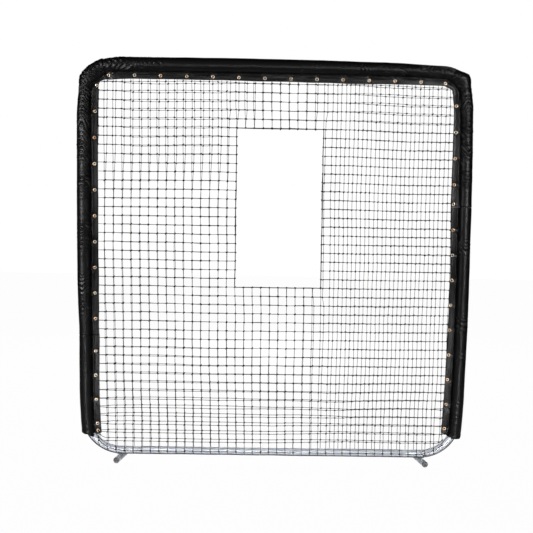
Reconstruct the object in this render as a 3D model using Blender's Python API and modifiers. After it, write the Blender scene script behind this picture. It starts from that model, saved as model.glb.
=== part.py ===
"""Pitching target net: a free-standing padded tube frame with a two-layer net.

The frame is a rounded square of galvanised tube in eight lengths, slipped into
each other and locked by sprung buttons.  Foam and vinyl covers wrap the top and
both sides, and flaps on the covers pinch the two net layers between them.  A
target window is cut through both layers.  Two short feet swivel on bolts under
the bottom rail.  Metres, +Z up, the padded front towards -Y, and the origin on
the floor at the middle of the whole object's box.
"""

import math

import bmesh
import bpy
from mathutils import Matrix, Vector

MM = 0.001
GAP = 0.3 * MM  # left between solids that touch on the real object

# Frame tube, measured along the tube's centre line
TUBE_R = 19.05 * MM
TUBE_WALL = 1.65 * MM
FRAME_HALF_WIDTH = 1.031
FRAME_TOP_Z = 2.158
BEND_R = 203 * MM
BEND_STEPS = 6
BEND_LEG = 100 * MM  # straight stretch of a bend before its reduced end
SWAGE_R = 16.4 * MM
SWAGE_LENGTH = 70 * MM
SWAGE_TAPER = 4 * MM

# Sprung button that locks each slip joint
BUTTON_R = 3.9 * MM
BUTTON_HOLE_R = 4.4 * MM
BUTTON_TIP = 21.6 * MM  # from the tube's centre line
BUTTON_SHOULDER = 12.9 * MM
BUTTON_FLANGE_R = 5.4 * MM
BUTTON_FLANGE_THICKNESS = 1.5 * MM
BUTTON_FROM_JOINT = 35 * MM
BUTTON_MESH_R = 7 * MM  # the opening in the net's mesh that a bottom button stands in
LEAF_WIDTH = 8 * MM
LEAF_THICKNESS = 0.8 * MM
LEAF_FLAT = (-7 * MM, 6 * MM)  # the leaf's flat under the button, along the tube
LEAF_BEND = (24 * MM, 3 * MM)  # where it turns back, along the tube and towards the hole
LEAF_END = (-12 * MM, -8.4 * MM)  # where it rests on the tube's far wall

# Feet
FOOT_R = 15.875 * MM
FOOT_WALL = 1.6 * MM
FOOT_AXIS_Z = 16.0 * MM
FOOT_X = 0.835
FOOT_FRONT = 71.7 * MM  # from the swivel bolt to the tube's front end
FOOT_BACK = 123.7 * MM
FOOT_SPLAY = math.radians(8.8)
PLUG_R = 16.6 * MM
PLUG_FLANGE = 4.0 * MM
PLUG_STEM = 18 * MM
PLUG_STEM_GAP = 0.9 * MM
SADDLE_THICKNESS = 3.7 * MM  # at its thinnest, with the gaps above and below
SADDLE_HALF_WIDTH = 11.5 * MM
SADDLE_LENGTH = 38 * MM
BOLT_R = 3.97 * MM
BOLT_HEAD_R = 7.2 * MM
BOLT_HEAD_HEIGHT = 5.3 * MM
BOLT_ABOVE_RAIL_UNDERSIDE = 16 * MM
WASHER_R = 8.5 * MM
WASHER_TOP = 11.0 * MM  # above the foot's axis
WASHER_THICKNESS = 1.5 * MM
INSERT_R = 5.5 * MM
INSERT_FLANGE_R = 8.0 * MM
INSERT_FLANGE_THICKNESS = 1.2 * MM
INSERT_LENGTH = 12 * MM
CLEARANCE_R = 4.5 * MM  # holes and bores round the bolt
ACCESS_R = 10 * MM  # hole in the foot's underside for the bolt's head

# Foam and covers
FOAM_BORE_R = 22.5 * MM
FOAM_R = 33.0 * MM
COVER_R = 36 * MM
COVER_THICKNESS = 1.4 * MM
FLAP_REACH = 71 * MM  # from the tube's centre line to the flap's free edge
FLAP_ROOT = 48 * MM
FLAP_FACE = 5.2 * MM  # from the net's middle plane to a flap's outer face
COVER_ARC_STEPS = 10
PAD_END_ANGLE = math.radians(29.5)  # how far the side pads follow the bottom bends
TOP_COVER_LEFT_TURN = math.radians(62)  # round each top bend, up from its side
TOP_COVER_RIGHT_TURN = math.radians(53)
LEFT_JOINT_Z = 0.700
RIGHT_JOINT_Z = 1.428
COVER_GAP = 0.6 * MM

# Net
NET_THICKNESS = 2.4 * MM
NET_MIDDLE_Y = 1.9 * MM  # each layer's distance from the middle plane
NET_EDGE = 40 * MM  # from the tube's centre line, where a layer ends inside the covers
NET_LOW_HALF_WIDTH = 0.955
NET_SPREAD_LOW_Z = 0.240
NET_SPREAD_HIGH_Z = 0.600
NET_SIDE_STEP_Z = 0.620
NET_WRAP_ANGLE = math.radians(32)  # below the rail's mid-height
WINDOW_LEFT = -0.212
WINDOW_RIGHT = 0.259
WINDOW_BOTTOM = 0.972
WINDOW_TOP = 1.836
WINDOW_CORNER_R = 12 * MM
WINDOW_ROPE_R = 2.5 * MM
HEM_ROPE_R = 2.0 * MM
HEM_ANGLE = math.radians(50)  # round the rail from its underside towards the front
HEM_START_ANGLE = math.radians(34)
HEM_CLEARANCE = 1.2 * MM

# Places that follow from the sizes above
RAIL_Z = FOOT_AXIS_Z + FOOT_R + SADDLE_THICKNESS + GAP * 2 + TUBE_R
FRAME_Y = -(FOOT_BACK - FOOT_FRONT) / 2 * math.cos(FOOT_SPLAY)
BEND_X = FRAME_HALF_WIDTH - BEND_R
LOW_BEND_Z = RAIL_Z + BEND_R
HIGH_BEND_Z = FRAME_TOP_Z - BEND_R
JOINT_X = BEND_X - BEND_LEG
LOW_JOINT_Z = LOW_BEND_Z + BEND_LEG
HIGH_JOINT_Z = HIGH_BEND_Z - BEND_LEG

parts = bpy.data.collections.new("pitching_target_net")
cutters = bpy.data.collections.new("cutters")


def clear_scene():
    for item in list(bpy.data.objects):
        bpy.data.objects.remove(item, do_unlink=True)
    bpy.context.scene.collection.children.link(parts)
    bpy.context.scene.collection.children.link(cutters)


def material(name, colour, roughness, metallic=0.0):
    made = bpy.data.materials.new(name)
    made.use_nodes = True
    shader = made.node_tree.nodes["Principled BSDF"]
    shader.inputs["Base Color"].default_value = (*colour, 1.0)
    shader.inputs["Roughness"].default_value = roughness
    shader.inputs["Metallic"].default_value = metallic
    return made


def add(name, mesh, look, parent=None):
    """Puts a mesh in the object's collection as a sub-part."""
    made = bpy.data.objects.new(name, mesh)
    parts.objects.link(made)
    if look and not mesh.materials:
        mesh.materials.append(look)
    made.parent = parent
    return made


def add_cutter(name, mesh, place):
    made = bpy.data.objects.new(name, mesh)
    cutters.objects.link(made)
    made.matrix_world = place
    made.hide_render = True
    made.display_type = "WIRE"
    return made


def smooth(mesh, angle=40):
    mesh.shade_smooth()
    mesh.set_sharp_from_angle(angle=math.radians(angle))


def mesh_from(bm, name):
    bmesh.ops.recalc_face_normals(bm, faces=bm.faces)
    mesh = bpy.data.meshes.new(name)
    bm.to_mesh(mesh)
    bm.free()
    smooth(mesh)
    return mesh


def cylinder_mesh(name, radius, length, sides=12):
    """A cylinder along Z, centred on the origin."""
    bm = bmesh.new()
    bmesh.ops.create_cone(
        bm, cap_ends=True, segments=sides, radius1=radius, radius2=radius, depth=length
    )
    return mesh_from(bm, name)


def box_mesh(name, size):
    bm = bmesh.new()
    bmesh.ops.create_cube(bm, size=1.0, matrix=Matrix.Diagonal((*size, 1.0)))
    return mesh_from(bm, name)


def boolean(target, cutter, operation="DIFFERENCE"):
    step = target.modifiers.new(operation.lower(), "BOOLEAN")
    step.operation = operation
    step.object = cutter


def solidify(target, thickness, offset=-1.0):
    step = target.modifiers.new("wall", "SOLIDIFY")
    step.thickness = thickness
    step.offset = offset
    step.use_even_offset = True


def baked_mesh(source, name):
    """The mesh of an object with its modifiers applied, caps welded; the object goes."""
    bpy.context.view_layer.update()
    evaluated = source.evaluated_get(bpy.context.evaluated_depsgraph_get())
    mesh = bpy.data.meshes.new_from_object(evaluated)
    mesh.transform(source.matrix_world)
    mesh.name = name
    bm = bmesh.new()
    bm.from_mesh(mesh)
    bmesh.ops.remove_doubles(bm, verts=bm.verts, dist=0.00001)
    bm.to_mesh(mesh)
    bm.free()
    bpy.data.objects.remove(source, do_unlink=True)
    smooth(mesh)
    return mesh


def swept_tube(name, points, radius, sides=12, scales=None, cyclic=False, caps=False):
    """A mesh along a line of points: an open skin, or a solid rod with caps."""
    curve = bpy.data.curves.new(name, "CURVE")
    curve.dimensions = "3D"
    curve.bevel_depth = radius
    curve.bevel_resolution = sides // 2 - 2
    curve.use_fill_caps = caps
    spline = curve.splines.new("POLY")
    spline.points.add(len(points) - 1)
    for i, place in enumerate(points):
        spline.points[i].co = (*place, 1.0)
        spline.points[i].radius = scales[i] if scales else 1.0
    spline.use_cyclic_u = cyclic
    source = bpy.data.objects.new(name, curve)
    parts.objects.link(source)
    return baked_mesh(source, name)


def turned(name, profile, closed=False, sides=12):
    """A profile of (radius, height) points turned about Z into a solid."""
    bm = bmesh.new()
    corners = [bm.verts.new((x, 0.0, z)) for x, z in profile]
    for first, second in zip(corners, corners[1:]):
        bm.edges.new((first, second))
    if closed:
        bm.edges.new((corners[-1], corners[0]))
    outline = bpy.data.meshes.new(name)
    bm.to_mesh(outline)
    bm.free()
    source = bpy.data.objects.new(name, outline)
    parts.objects.link(source)
    screw = source.modifiers.new("turn", "SCREW")
    screw.steps = sides
    screw.render_steps = sides
    screw.use_merge_vertices = True
    screw.merge_threshold = 0.00001
    return baked_mesh(source, name)


# The frame's centre line, as stations of (x, z, angle); the angle's direction
# (cos, sin) points out of the rounded square.


def arc(corner_x, corner_z, start, end, steps=BEND_STEPS):
    """Stations round a bend, whose centre is at the given corner of the inner square."""
    angles = [start + (end - start) * i / steps for i in range(steps + 1)]
    return [
        (corner_x + BEND_R * math.cos(a), corner_z + BEND_R * math.sin(a), a)
        for a in angles
    ]


LEFT, RIGHT, UP, DOWN = math.pi, 0.0, math.pi / 2, -math.pi / 2


def along(stations, outward=0.0, forward=0.0):
    """Points beside the centre line: outward from the square, and towards the front."""
    return [
        (x + outward * math.cos(a), FRAME_Y - forward, z + outward * math.sin(a))
        for x, z, a in stations
    ]


def bend_stations(side, level):
    """One bend with its legs: side is -1 left or 1 right, level -1 bottom or 1 top."""
    facing = RIGHT if side > 0 else LEFT
    turn_z = HIGH_BEND_Z if level > 0 else LOW_BEND_Z
    upright = arc(side * BEND_X, turn_z, facing, facing)[:1]
    x, z, _ = upright[0]
    to_level = math.pi / 2 * side * level
    curve = arc(side * BEND_X, turn_z, facing, facing + to_level)
    rail_x, rail_z, rail_angle = curve[-1]
    runs = [BEND_LEG + SWAGE_LENGTH, BEND_LEG, BEND_LEG - SWAGE_TAPER]
    before = [(x, z - level * run, facing) for run in runs]
    after = [(rail_x - side * run, rail_z, rail_angle) for run in reversed(runs)]
    stations = before + curve + after
    slim = SWAGE_R / TUBE_R
    scales = [slim, slim, 1.0] + [1.0] * len(curve) + [1.0, slim, slim]
    return stations, scales


def button_cutter(place):
    """A cutter for the button's holes, on the back of the tube at the given place."""
    mesh = cylinder_mesh("button_cut", BUTTON_HOLE_R, 20 * MM)
    turn = Matrix.Rotation(math.pi / 2, 4, "X")
    centre = Vector(place) + Vector((0.0, 18 * MM, 0.0))
    return add_cutter("button_cut", mesh, Matrix.Translation(centre) @ turn)


def button_places():
    """Each slip joint's button: its name, its place on the centre line, its leaf's way."""
    inside = BUTTON_FROM_JOINT
    places = {}
    for side, side_name in ((-1, "left"), (1, "right")):
        for level, z in (("top", FRAME_TOP_Z), ("bottom", RAIL_Z)):
            name = f"snap_button_{level}_{side_name}"
            places[name] = ((side * (JOINT_X - inside), FRAME_Y, z), Vector((side, 0, 0)))
        x = side * FRAME_HALF_WIDTH
        places[f"snap_button_{side_name}_upper"] = (
            (x, FRAME_Y, HIGH_JOINT_Z - inside),
            Vector((0, 0, 1)),
        )
        places[f"snap_button_{side_name}_lower"] = (
            (x, FRAME_Y, LOW_JOINT_Z + inside),
            Vector((0, 0, -1)),
        )
    return places


def make_buttons(places, steel):
    """One button on its bent leaf, made once and placed in each joint."""
    flange_foot = BUTTON_SHOULDER - BUTTON_FLANGE_THICKNESS
    pin = turned(
        "snap_button",
        [
            (0.0, BUTTON_TIP),
            (BUTTON_R * 0.6, BUTTON_TIP - 0.3 * MM),
            (BUTTON_R, BUTTON_TIP - 2.0 * MM),
            (BUTTON_R, BUTTON_SHOULDER),
            (BUTTON_FLANGE_R, BUTTON_SHOULDER),
            (BUTTON_FLANGE_R, flange_foot),
            (0.0, flange_foot),
        ],
        sides=10,
    )
    top = flange_foot + 0.3 * MM
    flat_start, flat_end = LEAF_FLAT
    bend_x, bend_z = LEAF_BEND
    end_x, end_z = LEAF_END
    outline = [
        (flat_start, top),
        (flat_end, top),
        (bend_x, bend_z),
        (end_x, end_z),
        (end_x, end_z + LEAF_THICKNESS),
        (bend_x - 3 * MM, bend_z),
        (flat_end, top - LEAF_THICKNESS),
        (flat_start, top - LEAF_THICKNESS),
    ]
    bm = bmesh.new()
    corners = [bm.verts.new((x, -LEAF_WIDTH / 2, z)) for x, z in outline]
    face = bm.faces.new(corners)
    side = bmesh.ops.extrude_face_region(bm, geom=[face])
    moved = [v for v in side["geom"] if isinstance(v, bmesh.types.BMVert)]
    bmesh.ops.translate(bm, verts=moved, vec=(0.0, LEAF_WIDTH, 0.0))
    leaf = add_cutter("leaf", mesh_from(bm, "leaf"), Matrix.Identity(4))
    whole = add("snap_button", pin, steel)
    boolean(whole, leaf, "UNION")
    shared = baked_mesh(whole, "snap_button")
    for name, (place, way) in places.items():
        out = Vector((0, 1, 0))
        across = out.cross(way)
        made = add(name, shared, steel)
        turn = Matrix((way, across, out)).transposed().to_4x4()
        made.matrix_world = Matrix.Translation(place) @ turn


def make_frame(steel):
    places = button_places()
    pierced = {name: button_cutter(place) for name, (place, _) in places.items()}
    for side, side_name in ((-1, "left"), (1, "right")):
        for level, level_name in ((1, "top"), (-1, "bottom")):
            name = f"frame_bend_{level_name}_{side_name}"
            stations, scales = bend_stations(side, level)
            mesh = swept_tube(name, along(stations), TUBE_R, scales=scales)
            bend = add(name, mesh, steel)
            solidify(bend, TUBE_WALL)
            end_name = "upper" if level > 0 else "lower"
            boolean(bend, pierced[f"snap_button_{level_name}_{side_name}"])
            boolean(bend, pierced[f"snap_button_{side_name}_{end_name}"])
            if level < 0:
                hole = cylinder_mesh("insert_cut", INSERT_R + GAP, 20 * MM)
                place = (side * FOOT_X, FRAME_Y, RAIL_Z - TUBE_R)
                cutter = add_cutter("insert_cut", hole, Matrix.Translation(place))
                boolean(bend, cutter)
        x = side * FRAME_HALF_WIDTH
        upright = [
            (x, FRAME_Y, LOW_JOINT_Z + GAP),
            (x, FRAME_Y, HIGH_JOINT_Z - GAP),
        ]
        name = f"frame_tube_{side_name}"
        tube = add(name, swept_tube(name, upright, TUBE_R), steel)
        solidify(tube, TUBE_WALL)
        boolean(tube, pierced[f"snap_button_{side_name}_upper"])
        boolean(tube, pierced[f"snap_button_{side_name}_lower"])
    for level_name, z in (("top", FRAME_TOP_Z), ("bottom", RAIL_Z)):
        rail = [(-JOINT_X + GAP, FRAME_Y, z), (JOINT_X - GAP, FRAME_Y, z)]
        name = f"frame_tube_{level_name}"
        tube = add(name, swept_tube(name, rail, TUBE_R), steel)
        solidify(tube, TUBE_WALL)
        boolean(tube, pierced[f"snap_button_{level_name}_left"])
        boolean(tube, pierced[f"snap_button_{level_name}_right"])
    make_buttons(places, steel)


def sweep_skin(bm, profile, stations, closed=False):
    """Carries a profile of (outward, forward) points along stations; its end rows."""
    row = []
    edges = []
    first_row = []
    for count, (x, z, a) in enumerate(stations):
        places = [
            Vector((x + out * math.cos(a), FRAME_Y - fwd, z + out * math.sin(a)))
            for out, fwd in profile
        ]
        if count == 0:
            row = [bm.verts.new(p) for p in places]
            pairs = list(zip(row, row[1:])) + ([(row[-1], row[0])] if closed else [])
            edges = [bm.edges.new(pair) for pair in pairs]
            first_row = row
            continue
        made = bmesh.ops.extrude_edge_only(bm, edges=edges)["geom"]
        edges = [g for g in made if isinstance(g, bmesh.types.BMEdge)]
        fresh = {v for e in edges for v in e.verts}
        linked = [[e.other_vert(old) for e in old.link_edges] for old in row]
        row = [next(v for v in near if v in fresh) for near in linked]
        for corner, place in zip(row, places):
            corner.co = place
    return first_row, row


def cover_skin(name, stations):
    """A cover's outer face along its stations, with its normals away from the foam."""
    bm = bmesh.new()
    sweep_skin(bm, cover_profile(), stations)
    bmesh.ops.recalc_face_normals(bm, faces=bm.faces)
    (x0, z0, _), (x1, z1, _) = stations[:2]
    middle = Vector(((x0 + x1) / 2, FRAME_Y, (z0 + z1) / 2))
    bm.faces.ensure_lookup_table()
    strip = bm.faces[: len(cover_profile()) - 1]
    away = sum(f.normal.dot(f.calc_center_median() - middle) * f.calc_area() for f in strip)
    if away < 0:
        bmesh.ops.reverse_faces(bm, faces=bm.faces)
    mesh = bpy.data.meshes.new(name)
    bm.to_mesh(mesh)
    bm.free()
    smooth(mesh)
    return mesh


def foam_mesh(name, stations):
    """A foam sleeve: an outer and an inner skin, joined at both ends."""
    bm = bmesh.new()
    outer = sweep_skin(bm, ring_profile(FOAM_R), stations, closed=True)
    inner = sweep_skin(bm, ring_profile(FOAM_BORE_R), stations, closed=True)
    for outer_row, inner_row in zip(outer, inner):
        for i in range(len(outer_row)):
            pair = outer_row[i - 1], outer_row[i]
            bm.faces.new((*pair, inner_row[i], inner_row[i - 1]))
    return mesh_from(bm, name)


def ring_profile(radius, sides=12):
    turns = [2 * math.pi * i / sides for i in range(sides)]
    return [(radius * math.cos(t), radius * math.sin(t)) for t in turns]


def cover_profile():
    """The cover's outer face: front flap, round the foam, back flap."""
    reach = math.hypot(FLAP_ROOT, FLAP_FACE)
    meets = math.atan2(FLAP_FACE, FLAP_ROOT) + math.acos(COVER_R / reach)
    start, end = math.pi - meets, meets - math.pi
    turns = [start + (end - start) * i / COVER_ARC_STEPS for i in range(COVER_ARC_STEPS + 1)]
    round_part = [(COVER_R * math.cos(t), COVER_R * math.sin(t)) for t in turns]
    front = [(-FLAP_REACH, FLAP_FACE), (-FLAP_ROOT, FLAP_FACE)]
    back = [(-FLAP_ROOT, -FLAP_FACE), (-FLAP_REACH, -FLAP_FACE)]
    return front + round_part + back


def pad_runs():
    """The stretches of frame that each pad covers, as stations."""
    half = COVER_GAP / 2
    half_turn = half / BEND_R
    left_x, right_x = -FRAME_HALF_WIDTH, FRAME_HALF_WIDTH
    low_left = arc(-BEND_X, LOW_BEND_Z, LEFT + PAD_END_ANGLE, LEFT, 2)
    low_right = arc(BEND_X, LOW_BEND_Z, RIGHT - PAD_END_ANGLE, RIGHT, 2)
    left_end = LEFT - TOP_COVER_LEFT_TURN
    right_end = RIGHT + TOP_COVER_RIGHT_TURN
    up_left = arc(-BEND_X, HIGH_BEND_Z, LEFT, left_end + half_turn, 5)
    up_right = arc(BEND_X, HIGH_BEND_Z, RIGHT, right_end - half_turn, 4)
    top_left = arc(-BEND_X, HIGH_BEND_Z, left_end - half_turn, UP, 2)
    top_right = arc(BEND_X, HIGH_BEND_Z, UP, right_end + half_turn, 2)
    return {
        "top": top_left + top_right,
        "left_upper": [(left_x, LEFT_JOINT_Z + half, LEFT)] + up_left,
        "left_lower": low_left + [(left_x, LEFT_JOINT_Z - half, LEFT)],
        "right_upper": [(right_x, RIGHT_JOINT_Z + half, RIGHT)] + up_right,
        "right_lower": low_right + [(right_x, RIGHT_JOINT_Z - half, RIGHT)],
    }


def make_pads(vinyl, foam_look):
    for name, stations in pad_runs().items():
        cover = add(f"cover_{name}", cover_skin(f"cover_{name}", stations), vinyl)
        solidify(cover, COVER_THICKNESS)
        add(f"foam_{name}", foam_mesh(f"foam_{name}", stations), foam_look)


def net_depth(z):
    """How far a net layer stands from the middle plane at each height."""
    rail = TUBE_R + GAP + NET_THICKNESS / 2
    if z < RAIL_Z:
        return math.sqrt(rail**2 - (RAIL_Z - z) ** 2)
    share = (z - NET_SPREAD_LOW_Z) / (NET_SPREAD_HIGH_Z - NET_SPREAD_LOW_Z)
    share = min(max(share, 0.0), 1.0)
    return rail + (NET_MIDDLE_Y - rail) * share


def net_panels():
    """One layer's panels as outlines: below, above and on each side of the window."""
    inset = WINDOW_ROPE_R + GAP
    low, high = WINDOW_BOTTOM - inset, WINDOW_TOP + inset
    hem_drop = (TUBE_R + GAP + NET_THICKNESS / 2) * math.sin(NET_WRAP_ANGLE)
    low_r = BEND_R + hem_drop
    low_end = -math.acos((NET_LOW_HALF_WIDTH - BEND_X) / low_r)
    turns = [DOWN + (low_end - DOWN) * i / 3 for i in range(4)]
    below = [(BEND_X + low_r * math.cos(a), LOW_BEND_Z + low_r * math.sin(a)) for a in turns]
    high_r = BEND_R - NET_EDGE
    side = BEND_X + high_r
    below.append((NET_LOW_HALF_WIDTH, NET_SIDE_STEP_Z))
    below.append((side, NET_SIDE_STEP_Z))
    below.append((side, low - GAP / 2))
    turns = [UP * i / BEND_STEPS for i in range(BEND_STEPS + 1)]
    above = [(side, high + GAP / 2)]
    above += [(BEND_X + high_r * math.cos(a), HIGH_BEND_Z + high_r * math.sin(a)) for a in turns]
    panels = {
        "below": below + [(-x, z) for x, z in reversed(below)],
        "above": above + [(-x, z) for x, z in reversed(above)],
    }
    edges = {"left": (-side, WINDOW_LEFT - inset), "right": (WINDOW_RIGHT + inset, side)}
    for name, (start, end) in edges.items():
        foot, head = low + GAP / 2, high - GAP / 2
        panels[name] = [(start, foot), (end, foot), (end, head), (start, head)]
    return panels


def window_edge(steps=3):
    """The window rope's line, with round corners."""
    r = WINDOW_CORNER_R
    corners = (
        (WINDOW_RIGHT - r, WINDOW_BOTTOM + r, DOWN),
        (WINDOW_RIGHT - r, WINDOW_TOP - r, RIGHT),
        (WINDOW_LEFT + r, WINDOW_TOP - r, UP),
        (WINDOW_LEFT + r, WINDOW_BOTTOM + r, LEFT),
    )
    points = []
    for x, z, start in corners:
        for i in range(steps + 1):
            a = start + math.pi / 2 * i / steps
            points.append((x + r * math.cos(a), FRAME_Y, z + r * math.sin(a)))
    return points


def panel_mesh(name, outline, way):
    """A net panel's middle surface, bent to its depth: way is -1 front or 1 back."""
    bm = bmesh.new()
    bm.faces.new([bm.verts.new((x, 0.0, z)) for x, z in outline])
    for z in (RAIL_Z, NET_SPREAD_LOW_Z, NET_SPREAD_HIGH_Z):
        everything = bm.verts[:] + bm.edges[:] + bm.faces[:]
        bmesh.ops.bisect_plane(bm, geom=everything, plane_co=(0, 0, z), plane_no=(0, 0, 1))
    for v in bm.verts:
        v.co.y = FRAME_Y + way * net_depth(v.co.z)
    mesh = bpy.data.meshes.new(name)
    bm.to_mesh(mesh)
    bm.free()
    return mesh


def make_net(twine):
    for layer_name, way in (("front", -1), ("back", 1)):
        for panel_name, outline in net_panels().items():
            name = f"net_{layer_name}_{panel_name}"
            panel = add(name, panel_mesh(name, outline, way), twine)
            solidify(panel, NET_THICKNESS, offset=0.0)
            if name != "net_back_below":
                continue
            for side in (-1, 1):
                mesh_gap = cylinder_mesh("mesh_gap_cut", BUTTON_MESH_R, 10 * MM, sides=8)
                x = side * (JOINT_X - BUTTON_FROM_JOINT)
                place = Matrix.Translation((x, FRAME_Y + TUBE_R, RAIL_Z))
                turn = Matrix.Rotation(math.pi / 2, 4, "X")
                boolean(panel, add_cutter("mesh_gap_cut", mesh_gap, place @ turn))
    edge = window_edge()
    rope = swept_tube("window_rope", edge, WINDOW_ROPE_R, sides=8, cyclic=True)
    add("window_rope", rope, twine)
    beside = TUBE_R + HEM_CLEARANCE + HEM_ROPE_R
    low_left = arc(-BEND_X, LOW_BEND_Z, LEFT + HEM_START_ANGLE, LEFT + UP, 4)
    low_right = arc(BEND_X, LOW_BEND_Z, DOWN, RIGHT - HEM_START_ANGLE, 4)
    places = along(
        low_left + low_right, beside * math.cos(HEM_ANGLE), beside * math.sin(HEM_ANGLE)
    )
    hem = swept_tube("net_hem_rope", places, HEM_ROPE_R, sides=8, caps=True)
    add("net_hem_rope", hem, twine)


def foot_plug_mesh():
    """A round plug with a flat on its underside; its flange starts at the origin, along +Y."""
    stem_r = FOOT_R - FOOT_WALL - PLUG_STEM_GAP
    profile = [
        (0.0, PLUG_FLANGE),
        (PLUG_R - 1.0 * MM, PLUG_FLANGE),
        (PLUG_R, PLUG_FLANGE - 1.0 * MM),
        (PLUG_R, 0.0),
        (stem_r, 0.0),
        (stem_r - 0.6 * MM, -PLUG_STEM),
        (0.0, -PLUG_STEM),
    ]
    plug = bpy.data.objects.new("plug", turned("plug", profile, sides=24))
    parts.objects.link(plug)
    plug.matrix_world = Matrix.Rotation(-math.pi / 2, 4, "X")
    below = box_mesh("floor_cut", (0.1, 0.1, 0.02))
    floor_cut = add_cutter(
        "floor_cut", below, Matrix.Translation((0, 0, -FOOT_AXIS_Z - 0.01))
    )
    boolean(plug, floor_cut)
    return baked_mesh(plug, "foot_plug")


def make_foot(side, name, plug, looks):
    """One foot under its swivel axis, and the bolt, insert and saddle that hold it."""
    steel, zinc, plastic = looks
    swivel = bpy.data.objects.new(f"{name}_swivel", None)
    parts.objects.link(swivel)
    swivel.location = (side * FOOT_X, FRAME_Y, FOOT_AXIS_Z)
    swivel.rotation_euler = (0.0, 0.0, side * FOOT_SPLAY)
    bpy.context.view_layer.update()

    ends = [(0.0, -FOOT_FRONT, 0.0), (0.0, FOOT_BACK, 0.0)]
    tube = add(f"{name}_tube", swept_tube(f"{name}_tube", ends, FOOT_R), steel, swivel)
    solidify(tube, FOOT_WALL)
    for cut_name, radius, level in (("bolt_cut", CLEARANCE_R, 1), ("access_cut", ACCESS_R, -1)):
        mesh = cylinder_mesh(cut_name, radius, 16 * MM)
        place = swivel.matrix_world @ Matrix.Translation((0, 0, level * FOOT_R))
        boolean(tube, add_cutter(cut_name, mesh, place))

    front = add(f"{name}_plug_front", plug, plastic, swivel)
    front.rotation_euler = (0.0, 0.0, math.pi)
    front.location = (0.0, -FOOT_FRONT - GAP, 0.0)
    back = add(f"{name}_plug_back", plug, plastic, swivel)
    back.location = (0.0, FOOT_BACK + GAP, 0.0)

    underside = RAIL_Z - TUBE_R
    centre = Vector((side * FOOT_X, FRAME_Y, 0.0))
    head_top = FOOT_AXIS_Z + WASHER_TOP - WASHER_THICKNESS - GAP
    shank_top = underside + BOLT_ABOVE_RAIL_UNDERSIDE
    shank_start = head_top - BOLT_HEAD_HEIGHT / 2
    bolt = add(
        f"{name}_bolt",
        cylinder_mesh(f"{name}_bolt", BOLT_HEAD_R, BOLT_HEAD_HEIGHT, sides=6),
        zinc,
    )
    bolt.location = centre + Vector((0, 0, head_top - BOLT_HEAD_HEIGHT / 2))
    shank = cylinder_mesh("shank", BOLT_R, shank_top - shank_start)
    shank_place = Matrix.Translation(
        centre + Vector((0, 0, (shank_top + shank_start) / 2))
    )
    boolean(bolt, add_cutter("shank", shank, shank_place), "UNION")

    washer_low = WASHER_TOP - WASHER_THICKNESS
    washer = turned(
        f"{name}_washer",
        [
            (WASHER_R, WASHER_TOP),
            (WASHER_R, washer_low),
            (CLEARANCE_R, washer_low),
            (CLEARANCE_R, WASHER_TOP),
        ],
        closed=True,
    )
    add(f"{name}_washer", washer, zinc).location = centre + Vector((0, 0, FOOT_AXIS_Z))

    flange_top = underside - GAP
    flange_low = flange_top - INSERT_FLANGE_THICKNESS
    insert = turned(
        f"{name}_insert",
        [
            (CLEARANCE_R, flange_top + INSERT_LENGTH),
            (INSERT_R, flange_top + INSERT_LENGTH),
            (INSERT_R, flange_top),
            (INSERT_FLANGE_R, flange_top),
            (INSERT_FLANGE_R, flange_low),
            (CLEARANCE_R, flange_low),
        ],
        closed=True,
    )
    add(f"{name}_insert", insert, zinc).location = centre

    low = FOOT_AXIS_Z + FOOT_R + GAP
    high = RAIL_Z - TUBE_R * 0.55
    block = box_mesh(
        f"{name}_saddle", (SADDLE_LENGTH, 2 * SADDLE_HALF_WIDTH, high - low)
    )
    saddle = add(f"{name}_saddle", block, plastic)
    saddle.location = centre + Vector((0, 0, (high + low) / 2))
    rail = cylinder_mesh("rail_cut", TUBE_R + GAP, 0.1, sides=48)
    rail_place = Matrix.Translation(centre + Vector((0, 0, RAIL_Z)))
    lay = Matrix.Rotation(math.pi / 2, 4, "Y")
    boolean(saddle, add_cutter("rail_cut", rail, rail_place @ lay))
    recess = cylinder_mesh("recess_cut", INSERT_FLANGE_R + GAP, 10 * MM)
    recess_z = flange_low - GAP + 5 * MM
    recess_place = Matrix.Translation(centre + Vector((0, 0, recess_z)))
    boolean(saddle, add_cutter("recess_cut", recess, recess_place))
    hole = cylinder_mesh("saddle_hole_cut", CLEARANCE_R, 30 * MM)
    hole_place = Matrix.Translation(centre + Vector((0, 0, low)))
    boolean(saddle, add_cutter("saddle_hole_cut", hole, hole_place))


def build():
    clear_scene()
    steel = material("galvanised_steel", (0.60, 0.64, 0.70), 0.35, 0.9)
    zinc = material("zinc_plate", (0.66, 0.66, 0.64), 0.3, 0.9)
    vinyl = material("black_vinyl", (0.012, 0.012, 0.013), 0.4)
    foam_look = material("charcoal_foam", (0.05, 0.05, 0.052), 0.9)
    twine = material("black_twine", (0.015, 0.015, 0.017), 0.75)
    plastic = material("grey_plastic", (0.20, 0.20, 0.21), 0.5)
    make_frame(steel)
    make_pads(vinyl, foam_look)
    make_net(twine)
    plug = foot_plug_mesh()
    for side, name in ((-1, "left_foot"), (1, "right_foot")):
        make_foot(side, name, plug, (steel, zinc, plastic))


build()
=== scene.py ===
"""Looks of the pitching target net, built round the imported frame."""

import math

import bmesh
import bpy
import numpy as np
from mathutils import Matrix, Vector


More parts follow.
